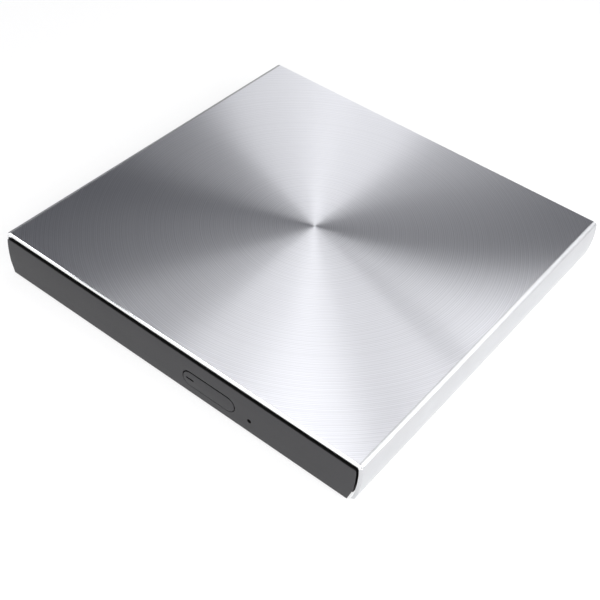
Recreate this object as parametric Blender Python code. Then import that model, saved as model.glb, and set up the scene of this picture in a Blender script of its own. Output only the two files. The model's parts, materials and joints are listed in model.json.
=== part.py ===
"""Slim external optical drive, closed, resting on its four feet.

Frame: metres, +X to the right seen from the front, +Y to the rear, +Z up. The origin is the
centre of the drive's footprint, on the surface it stands on. Every length below is written
in millimetres times MM.
"""
import bpy
import bmesh
from math import cos, pi, radians, sin, sqrt

MM = 0.001
GAP = 0.3 * MM

# Overall envelope
HALF_WIDTH = 71.35 * MM
HALF_DEPTH = 69.8 * MM
HEIGHT = 16.4 * MM
FLOOR_LIFT = 1.0 * MM

# Aluminium cover: flat top, rounded shoulders, gently bulged sides
TOP_HALF_WIDTH = 69.5 * MM
TOP_THICK = 1.3 * MM
SIDE_WALL = 1.0 * MM
SHOULDER_DROP = 1.2 * MM
BULGE_RADIUS = 36.0 * MM
BULGE_HEIGHT = 10.6 * MM
LIP_SETBACK = 1.2 * MM
LIP_CHAMFER = 0.5 * MM
HEM_TOP = 5.4 * MM
HEM_INNER_X = 68.7 * MM

# Plastic bottom
BASE_FLOOR = 1.4 * MM
BASE_WALL = 1.2 * MM
BASE_HALF_WIDTH = 69.5 * MM
BASE_SLANT_TOP = 5.2 * MM
BASE_WALL_TOP = 14.6 * MM
BASE_FRONT_Y = -66.9 * MM
BASE_REAR_Y = 69.4 * MM

# Feet and case screws
FOOT_X = 55.0 * MM
FOOT_Y = 57.0 * MM
FOOT_RADIUS = 5.0 * MM
FOOT_HEIGHT = 1.3 * MM
FOOT_RECESS = 0.6 * MM
SCREW_X = 64.2 * MM
SCREW_FRONT_Y = -58.0 * MM
SCREW_REAR_Y = 52.0 * MM
SCREW_RADIUS = 1.0 * MM
SCREW_HEAD_RADIUS = 1.9 * MM
SCREW_HEAD_TOP = 1.7 * MM
SCREW_TOP = 4.4 * MM

# Steel pan and plate of the drive itself
PAN_HALF_WIDTH = 66.9 * MM
PAN_FRONT_Y = -66.5 * MM
PAN_REAR_Y = 60.0 * MM
PAN_BOTTOM = 2.7 * MM
PAN_TOP = 13.9 * MM
STEEL = 0.6 * MM

# Slide rails: a fixed channel, a sliding channel inside it, and a rib on the tray
RAIL_MIDDLE_Z = 7.6 * MM
GUIDE_OUTER_X = 66.0 * MM
GUIDE_INNER_X = 63.2 * MM
GUIDE_HALF_HEIGHT = 2.3 * MM
GUIDE_FLANGE = 0.7 * MM
GUIDE_WEB = 0.8 * MM
GUIDE_Y = (-65.0 * MM, 58.0 * MM)
RAIL_OUTER_X = 64.9 * MM
RAIL_INNER_X = 62.4 * MM
RAIL_HALF_HEIGHT = 1.3 * MM
RAIL_FLANGE = 0.5 * MM
RAIL_Y = (-62.0 * MM, 56.0 * MM)
RIB_OUTER_X = 63.8 * MM
RIB_HALF_HEIGHT = 0.5 * MM
RIB_Y = (-60.0 * MM, 54.0 * MM)

# Tray
TRAY_HALF_WIDTH = 62.1 * MM
TRAY_Y = (-66.9 * MM, 58.6 * MM)
TRAY_BOTTOM = 4.2 * MM
TRAY_RIM = 12.9 * MM
TRAY_WALL = 1.5 * MM
DECK_UNDERSIDE = 9.4 * MM
DECK_TOP = 10.6 * MM
DISC_CENTRE_Y = -3.0 * MM
DISC_RECESS_RADIUS = 60.7 * MM
SPRING_RIB_Y = (43.0 * MM, 44.4 * MM)
SPRING_RIB_HALF_WIDTH = 2.4 * MM
LENS_NOTCH_END_U = 62.4 * MM
LENS_NOTCH_HALF_WIDTH = 5.0 * MM
LENS_NOTCH_RISE = 0.6 * MM
STEM_HOLE_HALF = (2.4 * MM, 1.9 * MM)
LIGHT_HOLE_HALF = (2.0 * MM, 1.2 * MM)
RELEASE_HOLE_RADIUS = 0.9 * MM
PIN_NOTCH_HALF_WIDTH = 1.8 * MM
NOTCH_HEADROOM = 0.5 * MM
HOLE_OVERCUT = 0.2 * MM

# Bezel, button and light, centred on the button
BEZEL_BACK_Y = -67.2 * MM
BEZEL_TOP = 15.0 * MM
BEZEL_ROUND = 0.25 * MM
BEZEL_TOP_CORNER = 0.6 * MM
BEZEL_SKIN_BACK_Y = -69.15 * MM
BEZEL_REBATE_Z = 13.2 * MM
BEZEL_SIDE_GAP = 0.35 * MM
BUTTON_X = 16.7 * MM
BUTTON_Z = 6.7 * MM
BUTTON_HALF_WIDTH = 9.95 * MM
BUTTON_HALF_HEIGHT = 2.7 * MM
BUTTON_BACK_Y = -68.0 * MM
STEM_BACK_Y = -64.9 * MM
STEM_HALF_WIDTH = 1.6 * MM
STEM_HALF_HEIGHT = 1.2 * MM
LIGHT_X = 9.4 * MM
LIGHT_HALF_WIDTH = 1.4 * MM
LIGHT_HALF_HEIGHT = 0.42 * MM
PINHOLE_X = 32.5 * MM
PINHOLE_Z = 5.8 * MM
PINHOLE_RADIUS = 0.7 * MM
LED_HALF_WIDTH = 1.0 * MM
LED_Y = (-64.6 * MM, -63.0 * MM)
LED_BOTTOM = 5.9 * MM
SWITCH_HALF_WIDTH = 2.2 * MM
SWITCH_Y = (-64.1 * MM, -60.5 * MM)
SWITCH_BOTTOM = 5.0 * MM

# Boards
BOARD_THICK = 1.0 * MM
BOARD_TOP = DECK_UNDERSIDE - GAP
BUTTON_BOARD_X = (3.0 * MM, 35.0 * MM)
BUTTON_BOARD_Y = (-65.1 * MM, -57.0 * MM)
MAIN_BOARD_X = (-22.0 * MM, 58.0 * MM)
MAIN_BOARD_Y = (34.0 * MM, 56.0 * MM)
CHIP_X = (-4.0 * MM, 12.0 * MM)
CHIP_Y = (37.0 * MM, 53.0 * MM)
CHIP_THICK = 1.2 * MM
BRIDGE_BOARD_X = (8.0 * MM, 62.0 * MM)
BRIDGE_BOARD_Y = (60.3 * MM, 67.1 * MM)
BRIDGE_BOARD_BOTTOM = 5.0 * MM

# Rear cap and USB socket
CAP_HALF_WIDTH = 68.0 * MM
CAP_Y = (67.4 * MM, 69.4 * MM)
CAP_TOP = 14.8 * MM
USB_X = 46.0 * MM
USB_HALF_WIDTH = 3.85 * MM
USB_HEIGHT = 3.9 * MM
USB_WALL = 0.4 * MM
USB_Y = (62.6 * MM, 69.2 * MM)
DRIVE_PLUG_X = (12.0 * MM, 36.0 * MM)
DRIVE_PLUG_Y = (59.0 * MM, 64.0 * MM)
DRIVE_PLUG_HEIGHT = 3.0 * MM
USB_FLOOR_THICK = 1.2 * MM
TONGUE_HALF_WIDTH = 2.2 * MM
TONGUE_HALF_HEIGHT = 0.45 * MM
TONGUE_RISE = 0.4 * MM

# Ribbon cable between the pan and the tray
RIBBON_X = (38.0 * MM, 56.0 * MM)
RIBBON_THICK = 0.15 * MM
RIBBON_LOW_Z = 3.6 * MM
RIBBON_HIGH_Z = 6.0 * MM
RIBBON_FOLD_Y = -12.0 * MM
RIBBON_TAIL = 4.0 * MM
RIBBON_LOWER_Y = (-66.0 * MM, 59.0 * MM)
RIBBON_UPPER_Y = (-10.0 * MM, 50.0 * MM)

# Traverse: its own frame has X along the pickup's travel and its origin on the spindle
TRAVERSE_TURN = radians(225.0)
FRAME_U = (-22.0 * MM, 65.2 * MM)
FRAME_HALF_WIDTH = 20.0 * MM
FRAME_BOTTOM = 4.5 * MM
FRAME_WINDOW_U = (15.0 * MM, 60.0 * MM)
FRAME_WINDOW_V = (-9.0 * MM, 13.0 * MM)
COVER_BOTTOM = 9.5 * MM
COVER_END_U = 58.2 * MM
COVER_HALF_WIDTH = 13.2 * MM
COVER_DISC_RADIUS = 15.7 * MM
LENS_SLOT_U = (16.0 * MM, 70.0 * MM)
LENS_SLOT_HALF_WIDTH = 6.0 * MM
ROD_Z = 7.2 * MM
ROD_RADIUS = 1.0 * MM
MAIN_ROD_V = 15.0 * MM
SUB_ROD_V = -10.8 * MM
ROD_U = (9.8 * MM, 64.9 * MM)
POST_TOP = 8.8 * MM
POST_HALF_WIDTH = 1.8 * MM
INNER_POST_U = (9.4 * MM, 11.2 * MM)
OUTER_POST_U = (63.6 * MM, 65.0 * MM)
SCREW_V = -16.5 * MM
SCREW_U = (9.9 * MM, 57.0 * MM)
SCREW_POST_U = (57.4 * MM, 58.8 * MM)
STEPPER_U = (0.6 * MM, 9.5 * MM)
STEPPER_RADIUS = 1.95 * MM
DAMPER_PLACES = ((-18.0 * MM, 16.0 * MM), (-18.0 * MM, -16.0 * MM), (62.3 * MM, -17.2 * MM))
DAMPER_RADIUS = 2.6 * MM
DAMPER_BORE = 1.2 * MM
DAMPER_TOP = 8.2 * MM
THREAD_TOP = 9.2 * MM
DAMPER_HEAD_RADIUS = 1.9 * MM
DAMPER_HEAD_BOTTOM = 3.75 * MM
SCREW_POST_HALF_WIDTH = 1.2 * MM
LEAD_SCREW_RADIUS = 0.9 * MM
STEPPER_Z = 7.25 * MM

# Spindle
CUP_RADIUS = 12.0 * MM
FLANGE_RADIUS = 14.5 * MM
FLANGE_Z = (10.5 * MM, 11.1 * MM)
NOSE_RADIUS = 7.2 * MM
NOSE_TOP = 13.4 * MM
SHAFT_RADIUS = 1.6 * MM
CUP_BOTTOM = 7.5 * MM
STATOR_TOP = 7.2 * MM
NOSE_EDGE = 0.8 * MM
GRIP_RING_WIDTH_IN = 3.0 * MM
GRIP_RING_THICK = 0.4 * MM
CLAW_COUNT = 3
CLAW_R = (4.6 * MM, 7.7 * MM)
CLAW_Z = (12.1 * MM, 12.9 * MM)
CLAW_HALF_WIDTH = 1.1 * MM

# Pickup
SLED_U = (14.2 * MM, 30.2 * MM)
SLED_V = (-13.0 * MM, 17.5 * MM)
SLED_Z = (5.6 * MM, 9.0 * MM)
LENS_U = 24.0 * MM
HOLDER_HALF_LENGTH = 4.5 * MM
HOLDER_HALF_WIDTH = 4.0 * MM
HOLDER_Z = (8.1 * MM, 9.9 * MM)
LENS_RADIUS = 2.1 * MM
LENS_BASE = 9.4 * MM
LENS_RIM = 10.0 * MM
LENS_CROWN = 0.6 * MM
HOLDER_PLAY = 0.5 * MM
HOLDER_POCKET_DEPTH = 0.7 * MM
FOLLOWER_U = (17.0 * MM, 23.0 * MM)
FOLLOWER_Z = (5.8 * MM, 8.6 * MM)
FOLLOWER_REACH = 1.3 * MM

# Latch: the lever is stored released, LATCH_SWING away from hooked
LATCH_X = -33.0 * MM
LATCH_Y = 33.0 * MM
LATCH_Z = (4.6 * MM, 5.6 * MM)
LATCH_SWING = radians(14.0)
LATCH_REACH = 15.4 * MM
PIN_OFFSET_X = 4.0 * MM
PIN_OFFSET_Y = 14.0 * MM
PIN_RADIUS = 1.0 * MM
PIN_TOP = 6.4 * MM
LEVER_HALF_WIDTH = 1.2 * MM
LEVER_TOOTH = 5.0 * MM
LEVER_TOOTH_LENGTH = 2.0 * MM
LEVER_HUB_RADIUS = 3.0 * MM
LEVER_BORE = 1.5 * MM
LATCH_POST_RADIUS = 1.2 * MM
LATCH_POST_DROP = 0.2 * MM
SOLENOID_X = (-56.0 * MM, -41.0 * MM)
SOLENOID_Y = (35.5 * MM, 40.5 * MM)
SOLENOID_Z = (4.9 * MM, 8.4 * MM)
PLUNGER_X = (-51.5 * MM, -35.9 * MM)
PLUNGER_RADIUS = 0.9 * MM
PLUNGER_Z = 6.5 * MM
SPRING_X = -56.0 * MM
SPRING_Y = (45.0 * MM, 56.5 * MM)
SPRING_Z = 6.4 * MM
SPRING_RADIUS = 1.5 * MM
SPRING_WIRE = 0.25 * MM
SPRING_TURNS = 7

CUT_MARGIN = 2.0 * MM
FINE = 96
ROUND = 40
SMALL = 20


# ---------------------------------------------------------------- building helpers

def clear_scene():
    for thing in list(bpy.data.objects):
        bpy.data.objects.remove(thing, do_unlink=True)


def material(name, colour, roughness, metallic=0.0):
    made = bpy.data.materials.new(name)
    made.use_nodes = True
    shader = made.node_tree.nodes["Principled BSDF"]
    shader.inputs["Base Color"].default_value = (*colour, 1.0)
    shader.inputs["Roughness"].default_value = roughness
    shader.inputs["Metallic"].default_value = metallic
    return made


def add_object(name, bm, finish, parent=None, location=(0, 0, 0), rotation=(0, 0, 0)):
    bmesh.ops.recalc_face_normals(bm, faces=bm.faces)
    mesh = bpy.data.meshes.new(name)
    bm.to_mesh(mesh)
    bm.free()
    mesh.shade_smooth()
    mesh.set_sharp_from_angle(angle=radians(35.0))
    thing = bpy.data.objects.new(name, mesh)
    bpy.context.scene.collection.objects.link(thing)
    thing.location = location
    thing.rotation_euler = rotation
    thing.parent = parent
    if finish is not None:
        mesh.materials.append(finish)
    return thing


def add_empty(name, location, rotation=(0, 0, 0), parent=None):
    empty = bpy.data.objects.new(name, None)
    bpy.context.scene.collection.objects.link(empty)
    empty.location = location
    empty.rotation_euler = rotation
    empty.parent = parent
    return empty


def block(name, x, y, z, finish, parent=None, bevel=0.0):
    """A box that fills the spans x, y and z, with its origin at its middle."""
    bm = bmesh.new()
    bmesh.ops.create_cube(bm, size=1.0)
    size = (x[1] - x[0], y[1] - y[0], z[1] - z[0])
    bmesh.ops.scale(bm, vec=size, verts=bm.verts)
    middle = ((x[0] + x[1]) / 2, (y[0] + y[1]) / 2, (z[0] + z[1]) / 2)
    thing = add_object(name, bm, finish, parent, middle)
    if bevel:
        edge = thing.modifiers.new("edge", "BEVEL")
        edge.width = bevel
        edge.segments = 2
        edge.limit_method = "ANGLE"
    return thing


def loft(name, sections, finish, parent=None, location=(0, 0, 0), rotation=(0, 0, 0)):
    """Joins closed sections of equally many points, and caps the first and the last."""
    bm = bmesh.new()
    rings = [[bm.verts.new(point) for point in section] for section in sections]
    count = len(rings[0])
    for lower, upper in zip(rings, rings[1:]):
        for i in range(count):
            j = (i + 1) % count
            bm.faces.new((lower[i], lower[j], upper[j], upper[i]))
    bm.faces.new(rings[0])
    bm.faces.new(rings[-1])
    return add_object(name, bm, finish, parent, location, rotation)


def prism_y(name, outline, y, finish, parent=None, location=(0, 0, 0)):
    """Extrudes an outline of (x, z) points over the span y."""
    sections = [[(px, at, pz) for px, pz in outline] for at in y]
    return loft(name, sections, finish, parent, location)


def prism_z(name, outline, z, finish, parent=None, location=(0, 0, 0), rotation=(0, 0, 0)):
    """Extrudes an outline of (x, y) points over the span z."""
    sections = [[(px, py, at) for px, py in outline] for at in z]
    return loft(name, sections, finish, parent, location, rotation)


def turned(name, profile, steps, finish, parent=None, location=(0, 0, 0), rotation=(0, 0, 0)):
    """Turns (radius, z) points about Z. A profile that touches the axis stays open there."""
    bm = bmesh.new()
    dots = [bm.verts.new((radius, 0, z)) for radius, z in profile]
    edges = [bm.edges.new(pair) for pair in zip(dots, dots[1:])]
    if min(radius for radius, z in profile) > 0:
        edges.append(bm.edges.new((dots[-1], dots[0])))
    bmesh.ops.spin(bm, geom=dots + edges, cent=(0, 0, 0), axis=(0, 0, 1),
                   angle=2 * pi, steps=steps, use_merge=True)
    bmesh.ops.remove_doubles(bm, verts=bm.verts, dist=1e-6)
    return add_object(name, bm, finish, parent, location, rotation)


def cylinder(name, radius, z, steps, finish, parent=None, location=(0, 0, 0), rotation=(0, 0, 0)):
    profile = [(0, z[1]), (radius, z[1]), (radius, z[0]), (0, z[0])]
    return turned(name, profile, steps, finish, parent, location, rotation)


def tube(name, inner, outer, z, steps, finish, parent=None, location=(0, 0, 0)):
    profile = [(outer, z[1]), (outer, z[0]), (inner, z[0]), (inner, z[1])]
    return turned(name, profile, steps, finish, parent, location)


def rod_x(name, radius, x, y, z, steps, finish, parent=None):
    """A cylinder along X over the span x, with its origin at its middle."""
    half = (x[1] - x[0]) / 2
    middle = ((x[0] + x[1]) / 2, y, z)
    return cylinder(name, radius, (-half, half), steps, finish, parent, middle, (0, pi / 2, 0))


def rod_y(name, radius, y, x, z, steps, finish, parent=None):
    """A cylinder along Y over the span y, with its origin at its middle."""
    half = (y[1] - y[0]) / 2
    middle = (x, (y[0] + y[1]) / 2, z)
    return cylinder(name, radius, (-half, half), steps, finish, parent, middle, (pi / 2, 0, 0))


def combine(target, tool, operation):
    change = target.modifiers.new(tool.name, "BOOLEAN")
    change.operation = operation
    change.solver = "EXACT"
    change.object = tool
    tool.hide_render = True
    tool.display_type = "WIRE"


def cut(target, *tools):
    for tool in tools:
        combine(target, tool, "DIFFERENCE")


def join(target, *tools):
    for tool in tools:
        combine(target, tool, "UNION")


def grow(span, amount):
    return (span[0] - amount, span[1] + amount)


def around(middle, half):
    return (middle - half, middle + half)


def pill(half_width, half_height, x, z, arc_steps):
    """Outline of (x, z) points with semicircular ends."""
    straight = half_width - half_height
    points = []
    for side in (1, -1):
        for i in range(arc_steps + 1):
            turn = -pi / 2 + pi * i / arc_steps
            points.append((x + side * (straight + half_height * cos(turn)),
                           z + side * half_height * sin(turn)))
    return points


def inset(outline, amount):
    """Moves a convex outline inwards, each corner along its mitre."""
    count = len(outline)
    area = sum(outline[i - 1][0] * outline[i][1] - outline[i][0] * outline[i - 1][1]
               for i in range(count))
    turn = 1.0 if area > 0 else -1.0
    moved = []
    for i, (x, z) in enumerate(outline):
        before = outline[i - 1]
        after = outline[(i + 1) % count]
        normals = []
        for start, end in ((before, (x, z)), ((x, z), after)):
            dx = end[0] - start[0]
            dz = end[1] - start[1]
            length = sqrt(dx * dx + dz * dz)
            normals.append((-dz / length * turn, dx / length * turn))
        (ax, az), (bx, bz) = normals
        scale = amount / (1.0 + ax * bx + az * bz)
        moved.append((x + (ax + bx) * scale, z + (az + bz) * scale))
    return moved


# ---------------------------------------------------------------- casing

def side_x(z):
    """Outer half-width of the cover's bulged side at height z."""
    offset = z - BULGE_HEIGHT
    return HALF_WIDTH - BULGE_RADIUS + sqrt(BULGE_RADIUS ** 2 - offset ** 2)


def cover_section(y, chamfer):
    """The cover's cross-section: outer line from left to right, then the inner line back."""
    shoulder_z = HEIGHT - SHOULDER_DROP
    shoulder_width = side_x(shoulder_z) - TOP_HALF_WIDTH
    right = []
    side_steps = 6
    for i in range(side_steps):
        z = FLOOR_LIFT + (shoulder_z - FLOOR_LIFT) * i / side_steps
        right.append((side_x(z) - chamfer, z))
    arc_steps = 5
    for i in range(arc_steps + 1):
        turn = pi / 2 * i / arc_steps
        right.append((TOP_HALF_WIDTH + (shoulder_width - chamfer) * cos(turn),
                      shoulder_z + (SHOULDER_DROP - chamfer) * sin(turn)))
    inner_top = HEIGHT - TOP_THICK
    inner = [(TOP_HALF_WIDTH - GAP, inner_top)]
    for i in range(side_steps, -1, -1):
        z = HEM_TOP + (inner_top - 2 * GAP - HEM_TOP) * i / side_steps
        inner.append((side_x(z) - SIDE_WALL, z))
    inner.append((HEM_INNER_X, FLOOR_LIFT))
    outer_line = right + [(-x, z) for x, z in reversed(right)]
    inner_line = [(-x, z) for x, z in reversed(inner)] + inner
    return [(x, y, z) for x, z in outer_line + inner_line]


def make_top_shell(finish):
    front = -HALF_DEPTH + LIP_SETBACK
    sections = [
        cover_section(front, LIP_CHAMFER),
        cover_section(front + LIP_CHAMFER, 0.0),
        cover_section(HALF_DEPTH - LIP_CHAMFER, 0.0),
        cover_section(HALF_DEPTH, LIP_CHAMFER),
    ]
    return loft("top_shell", sections, finish)


def foot_places():
    for end, y in (("front", -FOOT_Y), ("rear", FOOT_Y)):
        for side, x in (("left", -FOOT_X), ("right", FOOT_X)):
            yield f"{end}_{side}", x, y


def screw_places():
    for end, y in (("front", SCREW_FRONT_Y), ("rear", SCREW_REAR_Y)):
        for side, x in (("left", -SCREW_X), ("right", SCREW_X)):
            yield f"{end}_{side}", x, y


def make_bottom_shell(finish):
    """A shallow channel whose lower corners slant in beside the cover's hems."""
    floor_top = FLOOR_LIFT + BASE_FLOOR
    inner = BASE_HALF_WIDTH - BASE_WALL
    right = [(HEM_INNER_X - GAP, FLOOR_LIFT), (BASE_HALF_WIDTH, BASE_SLANT_TOP),
             (BASE_HALF_WIDTH, BASE_WALL_TOP), (inner, BASE_WALL_TOP), (inner, floor_top)]
    outline = right + [(-x, z) for x, z in reversed(right)]
    shell = prism_y("bottom_shell", outline, (BASE_FRONT_Y, BASE_REAR_Y), finish)
    for place, x, y in foot_places():
        cut(shell, cylinder(f"foot_recess_{place}", FOOT_RADIUS + GAP,
                            (FLOOR_LIFT - CUT_MARGIN, FLOOR_LIFT + FOOT_RECESS),
                            ROUND, None, location=(x, y, 0)))
    for place, x, y in screw_places():
        bore = SCREW_RADIUS + GAP
        head = SCREW_HEAD_RADIUS + GAP
        head_top = SCREW_HEAD_TOP + GAP
        profile = [(0, floor_top + CUT_MARGIN), (bore, floor_top + CUT_MARGIN),
                   (bore, head_top), (head, head_top),
                   (head, -CUT_MARGIN), (0, -CUT_MARGIN)]
        cut(shell, turned(f"base_screw_hole_{place}", profile, SMALL, None, location=(x, y, 0)))
    return shell


def make_feet(finish):
    edge = 0.4 * MM
    for place, x, y in foot_places():
        profile = [(0, FOOT_HEIGHT), (FOOT_RADIUS, FOOT_HEIGHT), (FOOT_RADIUS, edge),
                   (FOOT_RADIUS - edge, 0), (0, 0)]
        turned(f"foot_{place}", profile, ROUND, finish, location=(x, y, 0))


def make_case_screws(finish):
    head_bottom = FLOOR_LIFT + 0.2 * MM
    for place, x, y in screw_places():
        profile = [(0, SCREW_TOP), (SCREW_RADIUS, SCREW_TOP), (SCREW_RADIUS, SCREW_HEAD_TOP),
                   (SCREW_HEAD_RADIUS, SCREW_HEAD_TOP), (SCREW_HEAD_RADIUS, head_bottom),
                   (0, head_bottom)]
        turned(f"case_screw_{place}", profile, SMALL, finish, location=(x, y, 0))


def make_rear_cap(finish):
    bottom = FLOOR_LIFT + BASE_FLOOR + GAP
    cap = block("rear_cap", around(0, CAP_HALF_WIDTH), CAP_Y, (bottom, CAP_TOP), finish)
    z = usb_middle_z()
    cut(cap, block("usb_window", around(USB_X, USB_HALF_WIDTH + GAP), grow(CAP_Y, CUT_MARGIN),
                   around(z, USB_HEIGHT / 2 + GAP), None))
    return cap


# ---------------------------------------------------------------- pan, plate and rails

def make_drive_chassis(finish):
    floor_top = PAN_BOTTOM + STEEL
    pan = block("drive_chassis", around(0, PAN_HALF_WIDTH), (PAN_FRONT_Y, PAN_REAR_Y),
                (PAN_BOTTOM, PAN_TOP), finish)
    cut(pan, block("pan_inside", around(0, PAN_HALF_WIDTH - STEEL),
                   (PAN_FRONT_Y - CUT_MARGIN, PAN_REAR_Y - STEEL),
                   (floor_top, PAN_TOP + CUT_MARGIN), None))
    plug_z = drive_plug_z()
    cut(pan, block("plug_window", grow(DRIVE_PLUG_X, GAP),
                   (PAN_REAR_Y - CUT_MARGIN, PAN_REAR_Y + CUT_MARGIN), grow(plug_z, GAP), None))
    for place, x, y in screw_places():
        cut(pan, cylinder(f"pan_screw_hole_{place}", SCREW_RADIUS + GAP,
                          (PAN_BOTTOM - CUT_MARGIN, floor_top + CUT_MARGIN),
                          SMALL, None, location=(x, y, 0)))
    return pan


def make_drive_cover(finish):
    bottom = PAN_TOP + GAP
    front = PAN_FRONT_Y + 0.5 * MM
    block("drive_cover", around(0, PAN_HALF_WIDTH), (front, PAN_REAR_Y),
          (bottom, bottom + STEEL), finish)


def channel(outer, inner, half_height, web, flange, side):
    """A C-shaped outline that opens towards the drive's middle."""
    low = RAIL_MIDDLE_Z - half_height
    high = RAIL_MIDDLE_Z + half_height
    points = [(outer, low), (outer, high), (inner, high), (inner, high - flange),
              (outer - web, high - flange), (outer - web, low + flange),
              (inner, low + flange), (inner, low)]
    return [(side * x, z) for x, z in points]


def make_rails(plastic, steel):
    for place, side in (("left", -1), ("right", 1)):
        guide = channel(GUIDE_OUTER_X, GUIDE_INNER_X, GUIDE_HALF_HEIGHT, GUIDE_WEB,
                        GUIDE_FLANGE, side)
        prism_y(f"{place}_guide", guide, GUIDE_Y, plastic)
        rail = channel(RAIL_OUTER_X, RAIL_INNER_X, RAIL_HALF_HEIGHT, GUIDE_WEB,
                       RAIL_FLANGE, side)
        prism_y(f"{place}_rail", rail, RAIL_Y, steel)


# ---------------------------------------------------------------- tray and front

def make_tray(finish, carrier, traverse):
    tray = block("tray", around(0, TRAY_HALF_WIDTH), TRAY_Y, (TRAY_BOTTOM, TRAY_RIM),
                 finish, carrier)
    for place, side in (("left", -1), ("right", 1)):
        span = sorted((side * (TRAY_HALF_WIDTH - GAP), side * RIB_OUTER_X))
        join(tray, block(f"tray_rib_{place}", span, RIB_Y,
                         around(RAIL_MIDDLE_Z, RIB_HALF_HEIGHT), None, carrier))
    cut(tray, block("tray_cavity", around(0, TRAY_HALF_WIDTH - TRAY_WALL),
                    (TRAY_Y[0] + TRAY_WALL, TRAY_Y[1] - TRAY_WALL),
                    (TRAY_BOTTOM - CUT_MARGIN, DECK_UNDERSIDE), None, carrier))
    cut(tray, cylinder("disc_recess", DISC_RECESS_RADIUS, (DECK_TOP, TRAY_RIM + CUT_MARGIN),
                       FINE, None, carrier, (0, DISC_CENTRE_Y, 0)))
    join(tray, cylinder("latch_post", LATCH_POST_RADIUS,
                        (LATCH_Z[0] - LATCH_POST_DROP, DECK_TOP - GAP), SMALL,
                        None, carrier, (LATCH_X, LATCH_Y, 0)))
    join(tray, block("spring_rib", around(SPRING_X, SPRING_RIB_HALF_WIDTH), SPRING_RIB_Y,
                     (TRAY_BOTTOM + GAP, DECK_TOP - GAP), None, carrier))
    for i, (u, v) in enumerate(DAMPER_PLACES):
        profile = [(0, DECK_TOP - GAP), (DAMPER_RADIUS, DECK_TOP - GAP),
                   (DAMPER_RADIUS, DAMPER_TOP + GAP), (DAMPER_BORE, DAMPER_TOP + GAP),
                   (DAMPER_BORE, THREAD_TOP), (0, THREAD_TOP)]
        join(tray, turned(f"damper_boss_{i}", profile, SMALL, None, traverse, (u, v, 0)))
    opening = (DECK_UNDERSIDE - CUT_MARGIN, DECK_TOP + CUT_MARGIN)
    cut(tray, cylinder("deck_hole", COVER_DISC_RADIUS + GAP, opening, FINE, None, traverse))
    cut(tray, block("deck_window", (0, COVER_END_U + GAP), around(0, COVER_HALF_WIDTH + GAP),
                    opening, None, traverse))
    cut(tray, block("lens_notch", (COVER_END_U - CUT_MARGIN, LENS_NOTCH_END_U),
                    around(0, LENS_NOTCH_HALF_WIDTH),
                    (DECK_UNDERSIDE - CUT_MARGIN, DECK_TOP + LENS_NOTCH_RISE), None, traverse))
    front = (TRAY_Y[0] - CUT_MARGIN, TRAY_Y[0] + TRAY_WALL + HOLE_OVERCUT)
    rear = (TRAY_Y[1] - TRAY_WALL - HOLE_OVERCUT, TRAY_Y[1] + CUT_MARGIN)
    cut(tray, block("stem_hole", around(BUTTON_X, STEM_HOLE_HALF[0]), front,
                    around(BUTTON_Z, STEM_HOLE_HALF[1]), None, carrier))
    cut(tray, block("light_hole", around(LIGHT_X, LIGHT_HOLE_HALF[0]), front,
                    around(BUTTON_Z, LIGHT_HOLE_HALF[1]), None, carrier))
    cut(tray, rod_y("release_hole", RELEASE_HOLE_RADIUS, front, PINHOLE_X, PINHOLE_Z, SMALL,
                    None, carrier))
    low_notch = (TRAY_BOTTOM - CUT_MARGIN, DECK_UNDERSIDE - NOTCH_HEADROOM)
    cut(tray, block("pin_notch", around(LATCH_X + PIN_OFFSET_X, PIN_NOTCH_HALF_WIDTH), rear,
                    low_notch, None, carrier))
    cut(tray, block("spring_notch", around(SPRING_X, SPRING_RIB_HALF_WIDTH), rear, low_notch,
                    None, carrier))
    return tray


def bezel_outline():
    """Follows the inside of the cover's sides, and slants in beside their hems."""
    side_steps = 5
    high = BEZEL_TOP - BEZEL_TOP_CORNER
    right = [(HEM_INNER_X - BEZEL_SIDE_GAP, FLOOR_LIFT)]
    for i in range(side_steps + 1):
        z = HEM_TOP + (high - HEM_TOP) * i / side_steps
        right.append((side_x(z) - SIDE_WALL - BEZEL_SIDE_GAP, z))
    right.append((right[-1][0] - BEZEL_TOP_CORNER, BEZEL_TOP))
    return right + [(-x, z) for x, z in reversed(right)]


def make_bezel(finish, carrier):
    outline = bezel_outline()
    front = -HALF_DEPTH
    sections = []
    round_steps = 4
    for i in range(round_steps + 1):
        turn = pi / 2 * i / round_steps
        ring = inset(outline, BEZEL_ROUND * (1 - sin(turn)))
        y = front + BEZEL_ROUND * (1 - cos(turn))
        sections.append([(x, y, z) for x, z in ring])
    sections.append([(x, BEZEL_BACK_Y, z) for x, z in outline])
    bezel = loft("front_bezel", sections, finish, carrier)
    cut(bezel, block("bezel_rebate", around(0, HALF_WIDTH),
                     (BEZEL_SKIN_BACK_Y, BEZEL_BACK_Y + CUT_MARGIN),
                     (BEZEL_REBATE_Z, BEZEL_TOP + CUT_MARGIN), None, carrier))
    through = (front - CUT_MARGIN, BEZEL_BACK_Y + CUT_MARGIN)
    hole = pill(BUTTON_HALF_WIDTH + GAP, BUTTON_HALF_HEIGHT + GAP, BUTTON_X, BUTTON_Z, 10)
    cut(bezel, prism_y("button_hole", hole, through, None, carrier))
    cut(bezel, rod_y("pinhole", PINHOLE_RADIUS, through, PINHOLE_X, PINHOLE_Z, SMALL,
                     None, carrier))
    return bezel


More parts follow.
